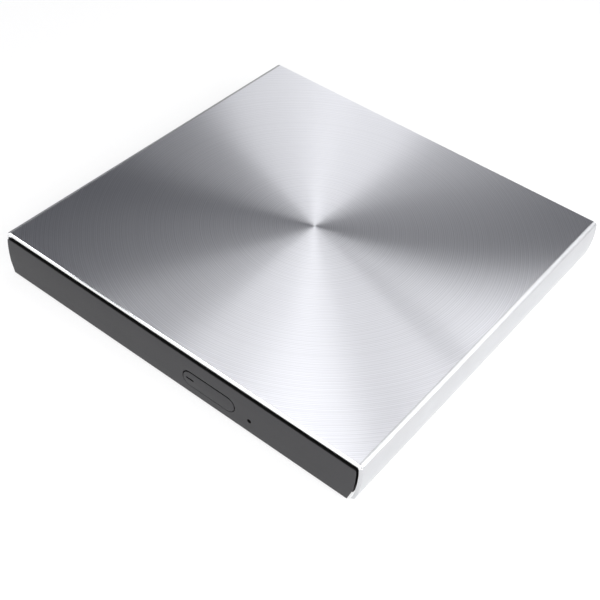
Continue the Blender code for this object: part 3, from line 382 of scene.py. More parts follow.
class Finish:
    """A Principled material with short calls for the nodes around it."""

    def __init__(self, name, colour, roughness, metallic=0.0):
        self.material = bpy.data.materials.new(name)
        self.material.use_nodes = True
        self.tree = self.material.node_tree
        self.shader = self.tree.nodes["Principled BSDF"]
        self.set("Base Color", (*colour, 1.0))
        self.set("Roughness", roughness)
        self.set("Metallic", metallic)
        self.colour = colour
        self.roughness = roughness
        self.place = self.node("ShaderNodeTexCoord").outputs["Object"]

    def set(self, socket, value):
        self.shader.inputs[socket].default_value = value

    def node(self, kind, **settings):
        made = self.tree.nodes.new(kind)
        for key, value in settings.items():
            setattr(made, key, value)
        return made

    def link(self, source, target):
        self.tree.links.new(source, target)

    def vector_math(self, operation, first, second=None):
        made = self.node("ShaderNodeVectorMath", operation=operation)
        self.link(first, made.inputs[0])
        if second is not None:
            made.inputs[1].default_value = second
        return made.outputs["Value" if operation == "LENGTH" else "Vector"]

    def scaled(self, stretch):
        """The object's coordinates, stretched along each axis."""
        return self.vector_math("MULTIPLY", self.place, stretch)

    def noise(self, scale, detail=2.0, vector=None):
        made = self.node("ShaderNodeTexNoise")
        made.inputs["Scale"].default_value = scale
        made.inputs["Detail"].default_value = detail
        self.link(self.place if vector is None else vector, made.inputs["Vector"])
        return made.outputs["Fac"]

    def span(self, factor, low, high, start=0.0, end=1.0):
        made = self.node("ShaderNodeMapRange")
        made.inputs["From Min"].default_value = start
        made.inputs["From Max"].default_value = end
        made.inputs["To Min"].default_value = low
        made.inputs["To Max"].default_value = high
        self.link(factor, made.inputs["Value"])
        return made.outputs["Result"]

    def math(self, operation, first, *values):
        made = self.node("ShaderNodeMath", operation=operation)
        self.link(first, made.inputs[0])
        for i, value in enumerate(values, 1):
            if isinstance(value, float):
                made.inputs[i].default_value = value
            else:
                self.link(value, made.inputs[i])
        return made.outputs["Value"]

    def vary_roughness(self, factor, spread):
        spanned = self.span(factor, self.roughness - spread, self.roughness + spread)
        self.link(spanned, self.shader.inputs["Roughness"])

    def blend_colours(self, factor, first, second):
        mix = self.node("ShaderNodeMix", data_type="RGBA")
        colours = [socket for socket in mix.inputs if socket.type == "RGBA"]
        colours[0].default_value = (*first, 1.0)
        colours[1].default_value = (*second, 1.0)
        self.link(factor, mix.inputs["Factor"])
        result = next(socket for socket in mix.outputs if socket.type == "RGBA")
        self.link(result, self.shader.inputs["Base Color"])

    def vary_colour(self, factor, low, high):
        """Base colour between low and high times the plain colour."""
        self.blend_colours(factor, [c * low for c in self.colour],
                           [min(1.0, c * high) for c in self.colour])

    def bump(self, height, distance):
        made = self.node("ShaderNodeBump")
        made.inputs["Distance"].default_value = distance
        self.link(height, made.inputs["Height"])
        self.link(made.outputs["Normal"], self.shader.inputs["Normal"])


SPUN_ROUGHNESS = 0.34
SPUN_ANISOTROPY = 0.93
TOOL_FEED = 0.65 * MM


def spun_aluminium():
    """Aluminium faced on a lathe: very fine rings about RING_CENTRE, partly regular."""
    finish = Finish("spun_aluminium", (0.86, 0.865, 0.905), SPUN_ROUGHNESS, 1.0)
    finish.set("Anisotropic", SPUN_ANISOTROPY)
    centred = finish.vector_math("SUBTRACT", finish.place, (*RING_CENTRE, 0.0))
    flat = finish.vector_math("MULTIPLY", centred, (1.0, 1.0, 0.0))
    finish.link(finish.vector_math("NORMALIZE", flat), finish.shader.inputs["Tangent"])
    radius = finish.vector_math("LENGTH", flat)
    grooves = finish.node("ShaderNodeTexNoise", noise_dimensions="1D")
    grooves.inputs["Scale"].default_value = 2600.0
    grooves.inputs["Detail"].default_value = 3.0
    finish.link(radius, grooves.inputs["W"])
    feed = finish.math("SINE", finish.math("MULTIPLY", radius, 2 * pi / TOOL_FEED))
    rings = finish.math("MULTIPLY_ADD", feed, 0.16, grooves.outputs["Fac"])
    finish.vary_roughness(rings, 0.08)
    finish.vary_colour(rings, 0.82, 1.10)
    return finish.material


def drawn_metal(name, colour, roughness, stretch=(9000.0, 500.0, 9000.0), relief=0.003 * MM):
    """Metal with a faint grain along one axis."""
    finish = Finish(name, colour, roughness, 1.0)
    grain = finish.noise(1.0, 3.0, finish.scaled(stretch))
    finish.vary_roughness(grain, roughness * 0.2)
    finish.vary_colour(finish.noise(120.0, 3.0), 0.95, 1.04)
    if relief:
        finish.bump(grain, relief)
    return finish.material


def cast_metal():
    finish = Finish("motor_metal", (0.42, 0.42, 0.43), 0.45, 1.0)
    pits = finish.noise(4500.0, 3.0)
    finish.vary_roughness(pits, 0.12)
    finish.vary_colour(finish.noise(300.0, 3.0), 0.88, 1.1)
    finish.bump(pits, 0.02 * MM)
    return finish.material


def moulded(name, colour, roughness, grain_size=0.25 * MM, relief=0.012 * MM, shine=0.5):
    """Plastic from a spark-eroded mould: an even fine grain."""
    finish = Finish(name, colour, roughness)
    grain = finish.noise(1.0 / grain_size, 2.0)
    finish.vary_roughness(grain, 0.08)
    finish.vary_colour(finish.noise(60.0, 4.0), 0.90, 1.10)
    finish.bump(grain, relief)
    finish.set("Specular IOR Level", shine)
    return finish.material


def soft_rubber():
    finish = Finish("rubber", (0.018, 0.018, 0.018), 0.82)
    speckle = finish.noise(3500.0, 4.0)
    finish.vary_roughness(speckle, 0.1)
    finish.vary_colour(finish.noise(400.0, 3.0), 0.7, 1.6)
    finish.bump(speckle, 0.02 * MM)
    return finish.material


# Near-black foam: the seal's own colour, and also painted shade on the walls of holes and slots and on the
# button's sides.
def black_foam_and_painted_shade():
    finish = Finish("black_foam_and_painted_shade", (0.004, 0.004, 0.004), 0.9)
    cells = finish.noise(5000.0, 2.0)
    finish.vary_roughness(cells, 0.06)
    finish.vary_colour(cells, 0.6, 1.4)
    finish.bump(cells, 0.02 * MM)
    finish.set("Specular IOR Level", 0.1)
    return finish.material


def wound_copper():
    """Enamelled wire, laid turn by turn."""
    finish = Finish("coil", (0.30, 0.13, 0.05), 0.38, 0.6)
    turns = finish.node("ShaderNodeTexWave", bands_direction="X")
    turns.inputs["Scale"].default_value = 1000.0
    finish.link(finish.place, turns.inputs["Vector"])
    finish.vary_colour(turns.outputs["Fac"], 0.45, 1.3)
    finish.bump(turns.outputs["Fac"], 0.05 * MM)
    return finish.material


def board_lacquer():
    """Green lacquer over square-cornered copper tracks."""
    finish = Finish("circuit_board", (0.010, 0.075, 0.035), 0.35)
    tracks = finish.node("ShaderNodeTexVoronoi", distance="CHEBYCHEV", feature="F1")
    tracks.inputs["Scale"].default_value = 420.0
    finish.link(finish.place, tracks.inputs["Vector"])
    raised = finish.span(tracks.outputs["Distance"], 0.0, 1.0, 0.42, 0.46)
    finish.blend_colours(raised, (0.008, 0.060, 0.028), (0.022, 0.150, 0.062))
    finish.bump(raised, 0.03 * MM)
    finish.set("Coat Weight", 0.4)
    finish.set("Coat Roughness", 0.15)
    return finish.material


def striped_ribbon():
    """A flat cable: bare foil conductors under clear film."""
    finish = Finish("ribbon", (0.75, 0.76, 0.78), 0.35)
    lines = finish.node("ShaderNodeTexWave", bands_direction="X")
    lines.inputs["Scale"].default_value = 300.0
    finish.link(finish.place, lines.inputs["Vector"])
    edge = finish.span(lines.outputs["Fac"], 0.0, 1.0, 0.35, 0.55)
    finish.blend_colours(edge, (0.86, 0.88, 0.92), (0.46, 0.48, 0.52))
    finish.bump(edge, 0.02 * MM)
    finish.set("Coat Weight", 0.5)
    finish.set("Coat Roughness", 0.1)
    return finish.material


def clear_moulding(name, colour, roughness, tint=0.08):
    finish = Finish(name, colour, roughness)
    finish.vary_roughness(finish.noise(1500.0), roughness * 0.4)
    finish.vary_colour(finish.noise(500.0), 1.0 - tint, 1.0 + tint)
    finish.set("Coat Weight", 0.8)
    finish.set("Coat Roughness", 0.04)
    return finish.material


FINISHES = {
    # The cover's sides: aluminium set much darker than the spun top's metal, painted shade that holds back
    # the light falling on the sides.
    "aluminium": drawn_metal("aluminium", (0.615, 0.62, 0.635), 0.50, relief=0.0),
    "bezel_plastic": moulded("bezel_plastic", (0.034, 0.0335, 0.036), 0.50, shine=0.33),
    "base_plastic": moulded("base_plastic", (0.030, 0.030, 0.032), 0.58),
    "tray_plastic": moulded("tray_plastic", (0.024, 0.024, 0.026), 0.48, 0.4 * MM),
    "small_plastic": moulded("small_plastic", (0.012, 0.012, 0.013), 0.40, 0.15 * MM),
    "rubber": soft_rubber(),
    "sheet_steel": drawn_metal("sheet_steel", (0.56, 0.57, 0.58), 0.36, (1500.0, 90.0, 1500.0)),
    "bright_steel": drawn_metal("bright_steel", (0.70, 0.70, 0.71), 0.20),
    "motor_metal": cast_metal(),
    "coil": wound_copper(),
    "circuit_board": board_lacquer(),
    "ribbon": striped_ribbon(),
    "light_pipe": clear_moulding("light_pipe", (0.03, 0.03, 0.032), 0.15),
    "led": clear_moulding("led", (0.70, 0.75, 0.65), 0.25),
    "lens_glass": clear_moulding("lens_glass", (0.16, 0.20, 0.42), 0.05),
}
aluminium_top = spun_aluminium()
# Near-black: the seal's foam, and painted shade inside holes, slots and gaps.
foam_and_painted_shade = black_foam_and_painted_shade()
aluminium_edge = drawn_metal("aluminium_edge", (0.90, 0.905, 0.915), 0.12, relief=0.0)
gold = drawn_metal("gold_contacts", (0.83, 0.62, 0.26), 0.22)


# ---------------------------------------------------------------- the cover

def side_x(z):
    """Outer half-width of the cover's bulged side at height z."""
    return HALF_WIDTH - BULGE_RADIUS + sqrt(BULGE_RADIUS ** 2 - (z - BULGE_Z) ** 2)


def cover_half(top_cut, side_cut):
    """Right half of the section, cut back from outside: up from the hem, then down the inside."""
    shoulder_steps = 12
    shoulder_z = TOP_Z - SHOULDER_DROP
    shoulder_width = side_x(shoulder_z) - TOP_HALF_WIDTH
    outer = []
    for i in range(SIDE_STEPS):
        z = BASE_Z + (shoulder_z - BASE_Z) * i / SIDE_STEPS
        outer.append((side_x(z) - side_cut, z))
    for i in range(shoulder_steps + 1):
        turn = pi / 2 * i / shoulder_steps
        outer.append((TOP_HALF_WIDTH + (shoulder_width - side_cut) * cos(turn),
                      shoulder_z + (SHOULDER_DROP - top_cut) * sin(turn)))
    under_plate = TOP_Z - PLATE_THICK
    inner_corner = 0.5 * MM
    inner = [(side_x(under_plate) - SIDE_WALL - inner_corner, under_plate)]
    for i in range(SIDE_STEPS, -1, -1):
        z = HEM_TOP + (under_plate - inner_corner - HEM_TOP) * i / SIDE_STEPS
        inner.append((side_x(z) - SIDE_WALL, z))
    inner.append((HEM_INNER_X, BASE_Z))
    return outer, inner


def make_cover():
    """The front edge is cut in two bright facets, a narrow one above a tall, nearly upright one."""
    depth = shell_high.y - shell_low.y
    top_band = 2
    stations = [(-LIP_NOSE, LIP_DROP, LIP_SIDE_CUT),
                (LIP_FACET / 8, LIP_FACET_DROP, LIP_FACET),
                (LIP_FACET, 0.0, 0.0),
                (depth - REAR_CHAMFER, 0.0, 0.0),
                (depth, REAR_CHAMFER, REAR_CHAMFER)]
    sections = []
    for along, top_cut, side_cut in stations:
        outer, inner = cover_half(top_cut, side_cut)
        outline = outer + [(-x, z) for x, z in reversed(outer)]
        outline += [(-x, z) for x, z in reversed(inner)] + inner
        sections.append([(x, shell_low.y + along, z) for x, z in outline])
    outer_count = len(outer)

    # Slot 1 (sides, hems and inside) is the darker aluminium copy: painted shade on the sides.
    def finish_of(band, point):
        from_hem = min(point, 2 * outer_count - 2 - point)
        if band != top_band and from_hem >= SIDE_STEPS:
            return 2
        return 0 if point == outer_count - 1 else 1

    cover = solid("aluminium_cover", lofted(sections, finish_of, 2))
    settle(cover, [aluminium_top, FINISHES["aluminium"], aluminium_edge],
           ["top_shell"], sharp=25.0)
    for polygon in cover.data.polygons:
        if polygon.material_index == 0:
            polygon.use_smooth = False


# ---------------------------------------------------------------- the front panel

def bezel_outline(ends=0.0, top=0.0, bottom=0.0):
    """The panel seen from the front, with its ends, top and bottom moved inwards."""
    side_steps = 14
    high = bezel_high.z - BEZEL_TOP_DROP - BEZEL_TOP_CORNER - top
    inwards = SIDE_WALL + BEZEL_GAP + ends
    right = [(HEM_INNER_X - BEZEL_GAP - ends, bezel_low.z + bottom)]
    for i in range(side_steps + 1):
        z = HEM_TOP + (high - HEM_TOP) * i / side_steps
        right.append((side_x(z) - inwards, z))
    corner = (right[-1][0] - BEZEL_TOP_CORNER, high)
    right += arc(corner, BEZEL_TOP_CORNER, 0.0, pi / 2, 6)[1:]
    return right + [(-x, z) for x, z in reversed(right)]


def make_bezel():
    """A front panel with crisp edges and a rebate behind them; a window and a release hole, the hole's
    walls near-black as painted shade.
    """
    sections = []
    steps = 6
    for i in range(steps + 1):
        turn = pi / 2 * i / steps
        back = BEZEL_ROUND * (1 - sin(turn))
        y = bezel_low.y + BEZEL_ROUND * (1 - cos(turn))
        sections.append([(x, y, z) for x, z in bezel_outline(back, back, back)])
    core = bezel_outline(BEZEL_REBATE, BEZEL_REBATE)
    rebate_y = bezel_low.y + BEZEL_ROUND + BEZEL_TAPER
    for y in (rebate_y, bezel_high.y):
        sections.append([(x, y, z) for x, z in core])
    bezel = solid("bezel_panel", lofted(sections))
    # Slot 1 is the near-black painted shade, on the release hole's walls.
    paint(bezel, FINISHES["bezel_plastic"], foam_and_painted_shade)
    window = pill(BUTTON_HALF_WIDTH, BUTTON_HALF_HEIGHT, BUTTON_X, BUTTON_Z + WINDOW_RISE)
    pin = arc(PINHOLE, PINHOLE_RADIUS, 0.0, 2 * pi, SMALL)[:-1]
    through = (bezel_low.y, bezel_high.y + MARGIN)
    cut(bezel, flared(window, BUTTON_GAP, through, 0), flared(pin, 0.0, through))
    settle(bezel, [], ["front_bezel"], sharp=25.0)


def make_seal():
    """Black foam in the rebate behind the front panel's edge, a ring open at the bottom: a dust seal whose
    near-black colour also paints the shade in the gap under the cover's lip.
    """
    outer = bezel_outline(SEAL_SET_BACK, SEAL_SET_BACK)
    inner = bezel_outline(BEZEL_REBATE, BEZEL_REBATE)
    outline = outer + inner[::-1]
    front = bezel_low.y + BEZEL_ROUND + SEAL_SET_BACK
    seal = solid("bezel_seal", prism_y(outline, (front, bezel_high.y - SEAL_SET_BACK)))
    settle(seal, [foam_and_painted_shade], [], nodes["front_bezel"]["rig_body"], sharp=30.0)


def make_button():
    """The eject button: softly rounded pill, its light slot near the left end, and a stem; its sides and
    the slot's walls are near-black, painted shade in the groove and slot.
    """
    outline = pill(BUTTON_HALF_WIDTH, BUTTON_HALF_HEIGHT, BUTTON_X, BUTTON_Z)
    edge = 0.12 * MM
    sections = []
    steps = 6
    for i in range(steps + 1):
        turn = pi / 2 * i / steps
        y = button_low.y + edge * (1 - cos(turn))
        sections.append([(x, y, z) for x, z in inset(outline, edge * (1 - sin(turn)))])
    sections.append([(x, BUTTON_BACK_Y, z) for x, z in outline])
    # The button's sides, down in the groove round it, take the near-black slot: painted shade.
    shaded_side_band = len(sections) - 2
    button = solid("eject_key", lofted(sections, lambda band, point: int(band == shaded_side_band)))
    paint(button, FINISHES["bezel_plastic"], foam_and_painted_shade)
    join(button, box_mesh((BUTTON_X - 1.6 * MM, BUTTON_X + 1.6 * MM),
                          (BUTTON_BACK_Y - edge, button_high.y),
                          (BUTTON_Z - 1.2 * MM, BUTTON_Z + 1.2 * MM)))
    slot = pill(*SLOT_HALF, LIGHT_X, BUTTON_Z, 8)
    cut(button, flared(slot, 0.0, (button_low.y, BUTTON_BACK_Y + 0.5 * MM)))
    settle(button, [], ["eject_button"], sharp=25.0)


def make_status_light():
    """The smoked light pipe, seen through the button's slot."""
    clearance = 0.05 * MM
    outline = pill(SLOT_HALF[0] - clearance, SLOT_HALF[1] - clearance, LIGHT_X, BUTTON_Z, 8)
    tip = 0.08 * MM
    start = light_low.y + 0.45 * MM
    pipe = solid("status_light", lofted([
        [(x, start, z) for x, z in inset(outline, tip)],
        [(x, start + tip, z) for x, z in outline],
        [(x, light_high.y, z) for x, z in outline]]))
    settle(pipe, [FINISHES["light_pipe"]], ["indicator_lens"], sharp=60.0)


# ---------------------------------------------------------------- underside and rear

def places(kind):
    """Each of four like nodes, with the middle of its footprint."""
    for end in ("front", "rear"):
        for side in ("left", "right"):
            node = f"{kind}_{end}_{side}"
            low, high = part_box(node)
            yield node, ((low.x + high.x) / 2, (low.y + high.y) / 2), low, high


def make_base():
    """The shallow plastic channel under the drive, with a sunk plain panel for a label."""
    wall = 1.2 * MM
    slant = 4.2 * MM
    inner = base_high.x - wall
    floor_top = base_low.z + 1.4 * MM
    right = [(HEM_INNER_X - GAP, base_low.z), (base_high.x, base_low.z + slant),
             (base_high.x, base_high.z), (inner, base_high.z), (inner, floor_top)]
    outline = right + [(-x, z) for x, z in reversed(right)]
    base = solid("base_tray", prism_y(outline, (base_low.y, base_high.y)))
    foot_recess = 0.6 * MM
    for node, centre, low, high in places("foot"):
        radius = (high.x - low.x) / 2 + GAP
        top = base_low.z + foot_recess
        cut(base, turned([(0, top), (radius, top), (radius, base_low.z),
                          (radius + GAP, base_low.z - GAP), (radius + GAP, base_low.z - MARGIN),
                          (0, base_low.z - MARGIN)], ROUND, centre))
    for node, centre, low, high in places("case_screw"):
        head = (high.x - low.x) / 2 + GAP
        bore = 1.3 * MM
        shelf = base_low.z + 1.0 * MM
        top = floor_top + MARGIN
        cut(base, turned([(0, top), (bore, top), (bore, shelf), (head, shelf),
                          (head, base_low.z), (head + GAP, base_low.z - GAP),
                          (head + GAP, base_low.z - MARGIN), (0, base_low.z - MARGIN)],
                         SMALL, centre))
    panel = rounded_rectangle((-36 * MM, 36 * MM), (-20 * MM, 24 * MM), 2.5 * MM)
    panel_depth = 0.25 * MM
    cut(base, prism_z(panel, (base_low.z - MARGIN, base_low.z + panel_depth)))
    groove = 0.3 * MM
    half = 0.6 * MM
    for y in (-40 * MM, 42 * MM):
        line = rounded_rectangle((-44 * MM, 44 * MM), (y - half, y + half), 0.55 * MM)
        cut(base, prism_z(line, (base_low.z - MARGIN, base_low.z + groove)))
    soften(base, 0.15 * MM)
    settle(base, [FINISHES["base_plastic"]], ["bottom_shell"])


def make_feet():
    """Rubber pads with a rounded rim and a shallow ring round a middle button."""
    for node, centre, low, high in places("foot"):
        radius = (high.x - low.x) / 2
        rim = 0.45 * MM
        profile = [(0, high.z), (radius, high.z)]
        profile += arc((radius - rim, rim), rim, 0.0, -pi / 2, 6)
        for ring in (3.3 * MM, 1.7 * MM):
            profile += [(ring + 0.3 * MM, 0), (ring + 0.15 * MM, 0.2 * MM),
                        (ring - 0.15 * MM, 0.2 * MM), (ring - 0.3 * MM, 0)]
        profile.append((0, 0))
        foot = solid(node.replace("foot", "foot_pad"), turned(profile, ROUND, centre))
        settle(foot, [FINISHES["rubber"]], [node], sharp=40.0)


def screw_mesh(centre, radii, levels, steps=SMALL):
    """Head down: radii are head and shank, levels are head face, head top and tip."""
    head, shank = radii
    face, shelf, tip = levels
    edge = 0.15 * MM
    profile = [(0, tip), (shank - edge, tip), (shank, tip - edge), (shank, shelf),
               (head, shelf), (head, face + edge), (head - edge, face), (0, face)]
    return turned(profile, steps, centre)


def cross_recess(centre, face, reach, depth):
    """The tapered four-winged hole for a driver."""
    wings = []
    thick = reach * 0.3
    for along_x in (True, False):
        sections = []
        for z, share in ((face - depth, 1.0), (face + depth, 0.35)):
            a = reach * share
            b = thick * share
            if not along_x:
                a, b = b, a
            sections.append([(centre[0] + sx * a, centre[1] + sy * b, z)
                             for sx, sy in ((1, -1), (1, 1), (-1, 1), (-1, -1))])
        wings.append(lofted(sections))
    return wings


def make_screws():
    for node, centre, low, high in places("case_screw"):
        radius = (high.x - low.x) / 2
        shelf = low.z + 0.5 * MM
        name = node.replace("case_screw", "base_screw")
        screw = solid(name, screw_mesh(centre, (radius, 1.0 * MM), (low.z, shelf, high.z)))
        cut(screw, *cross_recess(centre, low.z, radius * 0.62, 0.5 * MM))
        settle(screw, [FINISHES["bright_steel"]], [node], sharp=30.0)
    for i in (1, 2, 3):
        node = f"damper_screw_{i}"
        low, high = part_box(node)
        centre = ((low.x + high.x) / 2, (low.y + high.y) / 2)
        radius = (high.x - low.x) / 2
        screw = solid(f"damper_bolt_{i}", screw_mesh(
            centre, (radius, 0.9 * MM), (low.z, low.z + 0.45 * MM, high.z)))
        cut(screw, *cross_recess(centre, low.z, radius * 0.6, 0.4 * MM))
        settle(screw, [FINISHES["bright_steel"]], [node], sharp=30.0)


def make_rear():
    """The rear panel with its flared socket window, and the socket's contacts."""
    panel = solid("rear_panel", box_mesh((cap_low.x, cap_high.x), (cap_low.y, cap_high.y),
                                         (cap_low.z, cap_high.z)))
    middle_x = (socket_low.x + socket_high.x) / 2
    sections = []
    for y, grow in ((cap_low.y - MARGIN, GAP), (cap_high.y - GAP, GAP), (cap_high.y, 2 * GAP),
                    (cap_high.y + MARGIN, 2 * GAP)):
        window = rounded_rectangle((socket_low.x - grow, socket_high.x + grow),
                                   (socket_low.z - grow, socket_high.z + grow), 0.5 * MM, 4)
        sections.append([(x, y, z) for x, z in window])
    cut(panel, lofted(sections))
    soften(panel, 0.2 * MM)
    settle(panel, [FINISHES["base_plastic"]], ["rear_cap"])
    strips = []
    for i in range(5):
        x = middle_x + (i - 2) * 0.75 * MM
        strips.append(box_mesh((x - 0.2 * MM, x + 0.2 * MM),
                               (tongue_low.y + 0.4 * MM, tongue_high.y - 0.3 * MM),
                               (tongue_low.z - 0.12 * MM, tongue_low.z + 0.05 * MM)))
    contacts = solid("usb_contacts", merged(strips))
    soften(contacts, 0.04 * MM)
    settle(contacts, [gold], [], nodes["usb_tongue"]["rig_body"])


# ---------------------------------------------------------------- the tray

def make_tray():
    """The disc tray: round recess with a raised seat ring, window for the pickup, bosses below."""
    outer = rounded_rectangle((-TRAY_HALF_WIDTH, TRAY_HALF_WIDTH), (tray_low.y, tray_high.y),
                              1.2 * MM)
    tray = solid("disc_tray", prism_z(outer, (tray_low.z, tray_high.z)))
    rail_z = 7.6 * MM
    rib = 0.5 * MM
    for side in (-1, 1):
        span = sorted((side * (TRAY_HALF_WIDTH - GAP), side * tray_high.x))
        join(tray, box_mesh(span, RAIL_RIB_Y, (rail_z - rib, rail_z + rib)))
    cut(tray, box_mesh((TRAY_WALL - TRAY_HALF_WIDTH, TRAY_HALF_WIDTH - TRAY_WALL),
                       (tray_low.y + TRAY_WALL, tray_high.y - TRAY_WALL),
                       (tray_low.z - MARGIN, DECK_UNDERSIDE)))
    seat = 0.3 * MM
    flare = 0.5 * MM
    hub_seat = 19.5 * MM
    seat_start = RECESS_RADIUS - 3.2 * MM
    cut(tray, turned([(0, DECK_TOP + seat), (hub_seat, DECK_TOP + seat),
                      (hub_seat + seat, DECK_TOP), (seat_start, DECK_TOP),
                      (seat_start + seat, DECK_TOP + seat),
                      (RECESS_RADIUS - seat, DECK_TOP + seat),
                      (RECESS_RADIUS, DECK_TOP + 2 * seat),
                      (RECESS_RADIUS, tray_high.z - flare),
                      (RECESS_RADIUS + flare, tray_high.z),
                      (RECESS_RADIUS + flare, tray_high.z + MARGIN),
                      (0, tray_high.z + MARGIN)], FINE * 2, DISC_CENTRE))
    post_radius = 1.2 * MM
    post_foot = 4.4 * MM
    post = turned([(0, post_foot), (post_radius, post_foot), (post_radius, DECK_TOP - GAP),
                   (0, DECK_TOP - GAP)], SMALL, POST_PLACE)
    spring_rib = box_mesh(SPRING_BAY_X, (43 * MM, 44.4 * MM), (tray_low.z + GAP, DECK_TOP - GAP))
    join(tray, post, spring_rib)
    for i in (1, 2, 3):
        low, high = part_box(f"damper_{i}")
        centre = ((low.x + high.x) / 2, (low.y + high.y) / 2)
        radius = (high.x - low.x) / 2
        bore = 1.2 * MM
        thread_top = 9.2 * MM
        join(tray, turned([(0, DECK_TOP - GAP), (radius, DECK_TOP - GAP),
                           (radius, high.z + GAP), (bore, high.z + GAP),
                           (bore, thread_top), (0, thread_top)], SMALL, centre))
    window = rounded_rectangle((-1 * MM, SHIELD_END + GAP),
                               (-SHIELD_HALF_WIDTH - GAP, SHIELD_HALF_WIDTH + GAP), 1.5 * MM)
    opening = (DECK_UNDERSIDE - MARGIN, DECK_TOP + MARGIN)
    hole = arc((0, 0), SHIELD_RADIUS + GAP, 0.0, 2 * pi, FINE)[:-1]
    notch = rounded_rectangle((SHIELD_END - MARGIN, 62.4 * MM), (-5 * MM, 5 * MM), 1.5 * MM)
    cut(tray, in_traverse(prism_z(window, opening)), in_traverse(prism_z(hole, opening)),
        in_traverse(prism_z(notch, (opening[0], DECK_TOP + 0.6 * MM))))
    front = (tray_low.y - MARGIN, tray_low.y + TRAY_WALL + 0.2 * MM)
    rear = (tray_high.y - TRAY_WALL - 0.2 * MM, tray_high.y + MARGIN)
    low_notch = (tray_low.z - MARGIN, DECK_UNDERSIDE - 0.5 * MM)
    pin = arc(PINHOLE, 0.9 * MM, 0.0, 2 * pi, SMALL)[:-1]
    cut(tray,
        box_mesh((BUTTON_X - 2.4 * MM, BUTTON_X + 2.4 * MM), front,
                 (BUTTON_Z - 1.9 * MM, BUTTON_Z + 1.9 * MM)),
        box_mesh((LIGHT_X - 2 * MM, LIGHT_X + 2 * MM), front,
                 (BUTTON_Z - 1.2 * MM, BUTTON_Z + 1.2 * MM)),
        prism_y(pin, front),
        box_mesh(LATCH_BAY_X, rear, low_notch),
        box_mesh(SPRING_BAY_X, rear, low_notch))
    soften(tray, 0.12 * MM, 2, 28.0)
    settle(tray, [FINISHES["tray_plastic"]], ["tray"])


def make_shield():
    """The sheet-metal shield round the spindle, slotted for the lens, with two stamped ribs."""
    low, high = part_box("traverse_cover")
    z = (low.z, high.z)
    shield = solid("traverse_shield", in_traverse(prism_z(
        arc((0, 0), SHIELD_RADIUS, 0.0, 2 * pi, FINE)[:-1], z)))
    arm = rounded_rectangle((1 * MM, SHIELD_END), (-SHIELD_HALF_WIDTH, SHIELD_HALF_WIDTH), 1.2 * MM)
    join(shield, in_traverse(prism_z(arm, z)))
    stamp = 0.28 * MM
    for v in (-9.6 * MM, 9.6 * MM):
        rib = rounded_rectangle((20 * MM, 54 * MM), (v - 1.0 * MM, v + 1.0 * MM), 0.95 * MM)
        join(shield, in_traverse(lofted([
            [(x, y, high.z - 0.2 * MM) for x, y in rib],
            [(x, y, high.z) for x, y in rib],
            [(x, y, high.z + stamp) for x, y in inset(rib, stamp)]])))
    through = (low.z - MARGIN, high.z + MARGIN)
    slot = rounded_rectangle((SLOT_START, SHIELD_END + 10 * MM),
                             (-SLOT_HALF_WIDTH, SLOT_HALF_WIDTH), 1.5 * MM)
    hole = arc((0, 0), (hub_high.x - hub_low.x) / 2 - 1.5 * MM, 0.0, 2 * pi, FINE)[:-1]
    cut(shield, in_traverse(prism_z(hole, through)), in_traverse(prism_z(slot, through)))
    soften(shield, 0.08 * MM)
    settle(shield, [FINISHES["sheet_steel"]], ["traverse_cover"])


# ---------------------------------------------------------------- spindle and pickup

CLAW_COUNT = 3


def make_spindle():
    """The hub: cup, flange, and a nose with three slots for the sprung claws."""
    cup = 12.0 * MM
    flange = (hub_high.x - hub_low.x) / 2
    nose = 7.2 * MM
    shaft = 1.6 * MM
    flange_z = (10.5 * MM, 11.1 * MM)
    cup_bottom = 7.5 * MM
    edge = 0.8 * MM
    profile = [(0, hub_high.z - 0.9 * MM), (1.2 * MM, hub_high.z - 0.9 * MM),
               (1.9 * MM, hub_high.z - 0.1 * MM), (2.1 * MM, hub_high.z)]
    profile += arc((nose - edge, hub_high.z - edge), edge, pi / 2, 0.0, 8)
    profile += [(nose, flange_z[1] + 0.2 * MM), (nose + 0.2 * MM, flange_z[1])]
    round_edge = 0.15 * MM
    profile += [(flange - round_edge, flange_z[1]), (flange, flange_z[1] - round_edge),
                (flange, flange_z[0] + round_edge), (flange - round_edge, flange_z[0]),
                (cup, flange_z[0]), (cup, cup_bottom + 0.3 * MM), (cup - 0.3 * MM, cup_bottom),
                (shaft, cup_bottom), (shaft, hub_low.z), (0, hub_low.z)]
    hub = solid("spindle_hub", turned(profile, FINE, DISC_CENTRE))
    slot_z = (11.8 * MM, hub_high.z + MARGIN)
    for i in range(CLAW_COUNT):
        slot = rounded_rectangle((3.6 * MM, 9.7 * MM), (-1.4 * MM, 1.4 * MM), 0.3 * MM, 3)
        cut(hub, in_claw_frame(prism_z(slot, slot_z), i))
    settle(hub, [FINISHES["bright_steel"]], ["spindle_rotor"], sharp=28.0)
    ring_low, ring_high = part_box("disc_grip_ring")
    outer = (ring_high.x - ring_low.x) / 2
    inner = nose + 3 * MM
    soft = 0.12 * MM
    ring = solid("grip_ring", ring_mesh(
        [(inner, ring_low.z), (outer, ring_low.z), (outer, ring_high.z - soft),
         (outer - soft, ring_high.z), (inner + soft, ring_high.z), (inner, ring_high.z - soft)],
        FINE, DISC_CENTRE))
    settle(ring, [FINISHES["rubber"]], ["disc_grip_ring"], sharp=50.0)


def in_claw_frame(bm, index):
    bmesh.ops.transform(bm, verts=bm.verts,
                        matrix=Matrix.Rotation(2 * pi * index / CLAW_COUNT, 4, "Z"))
    return in_traverse(bm)


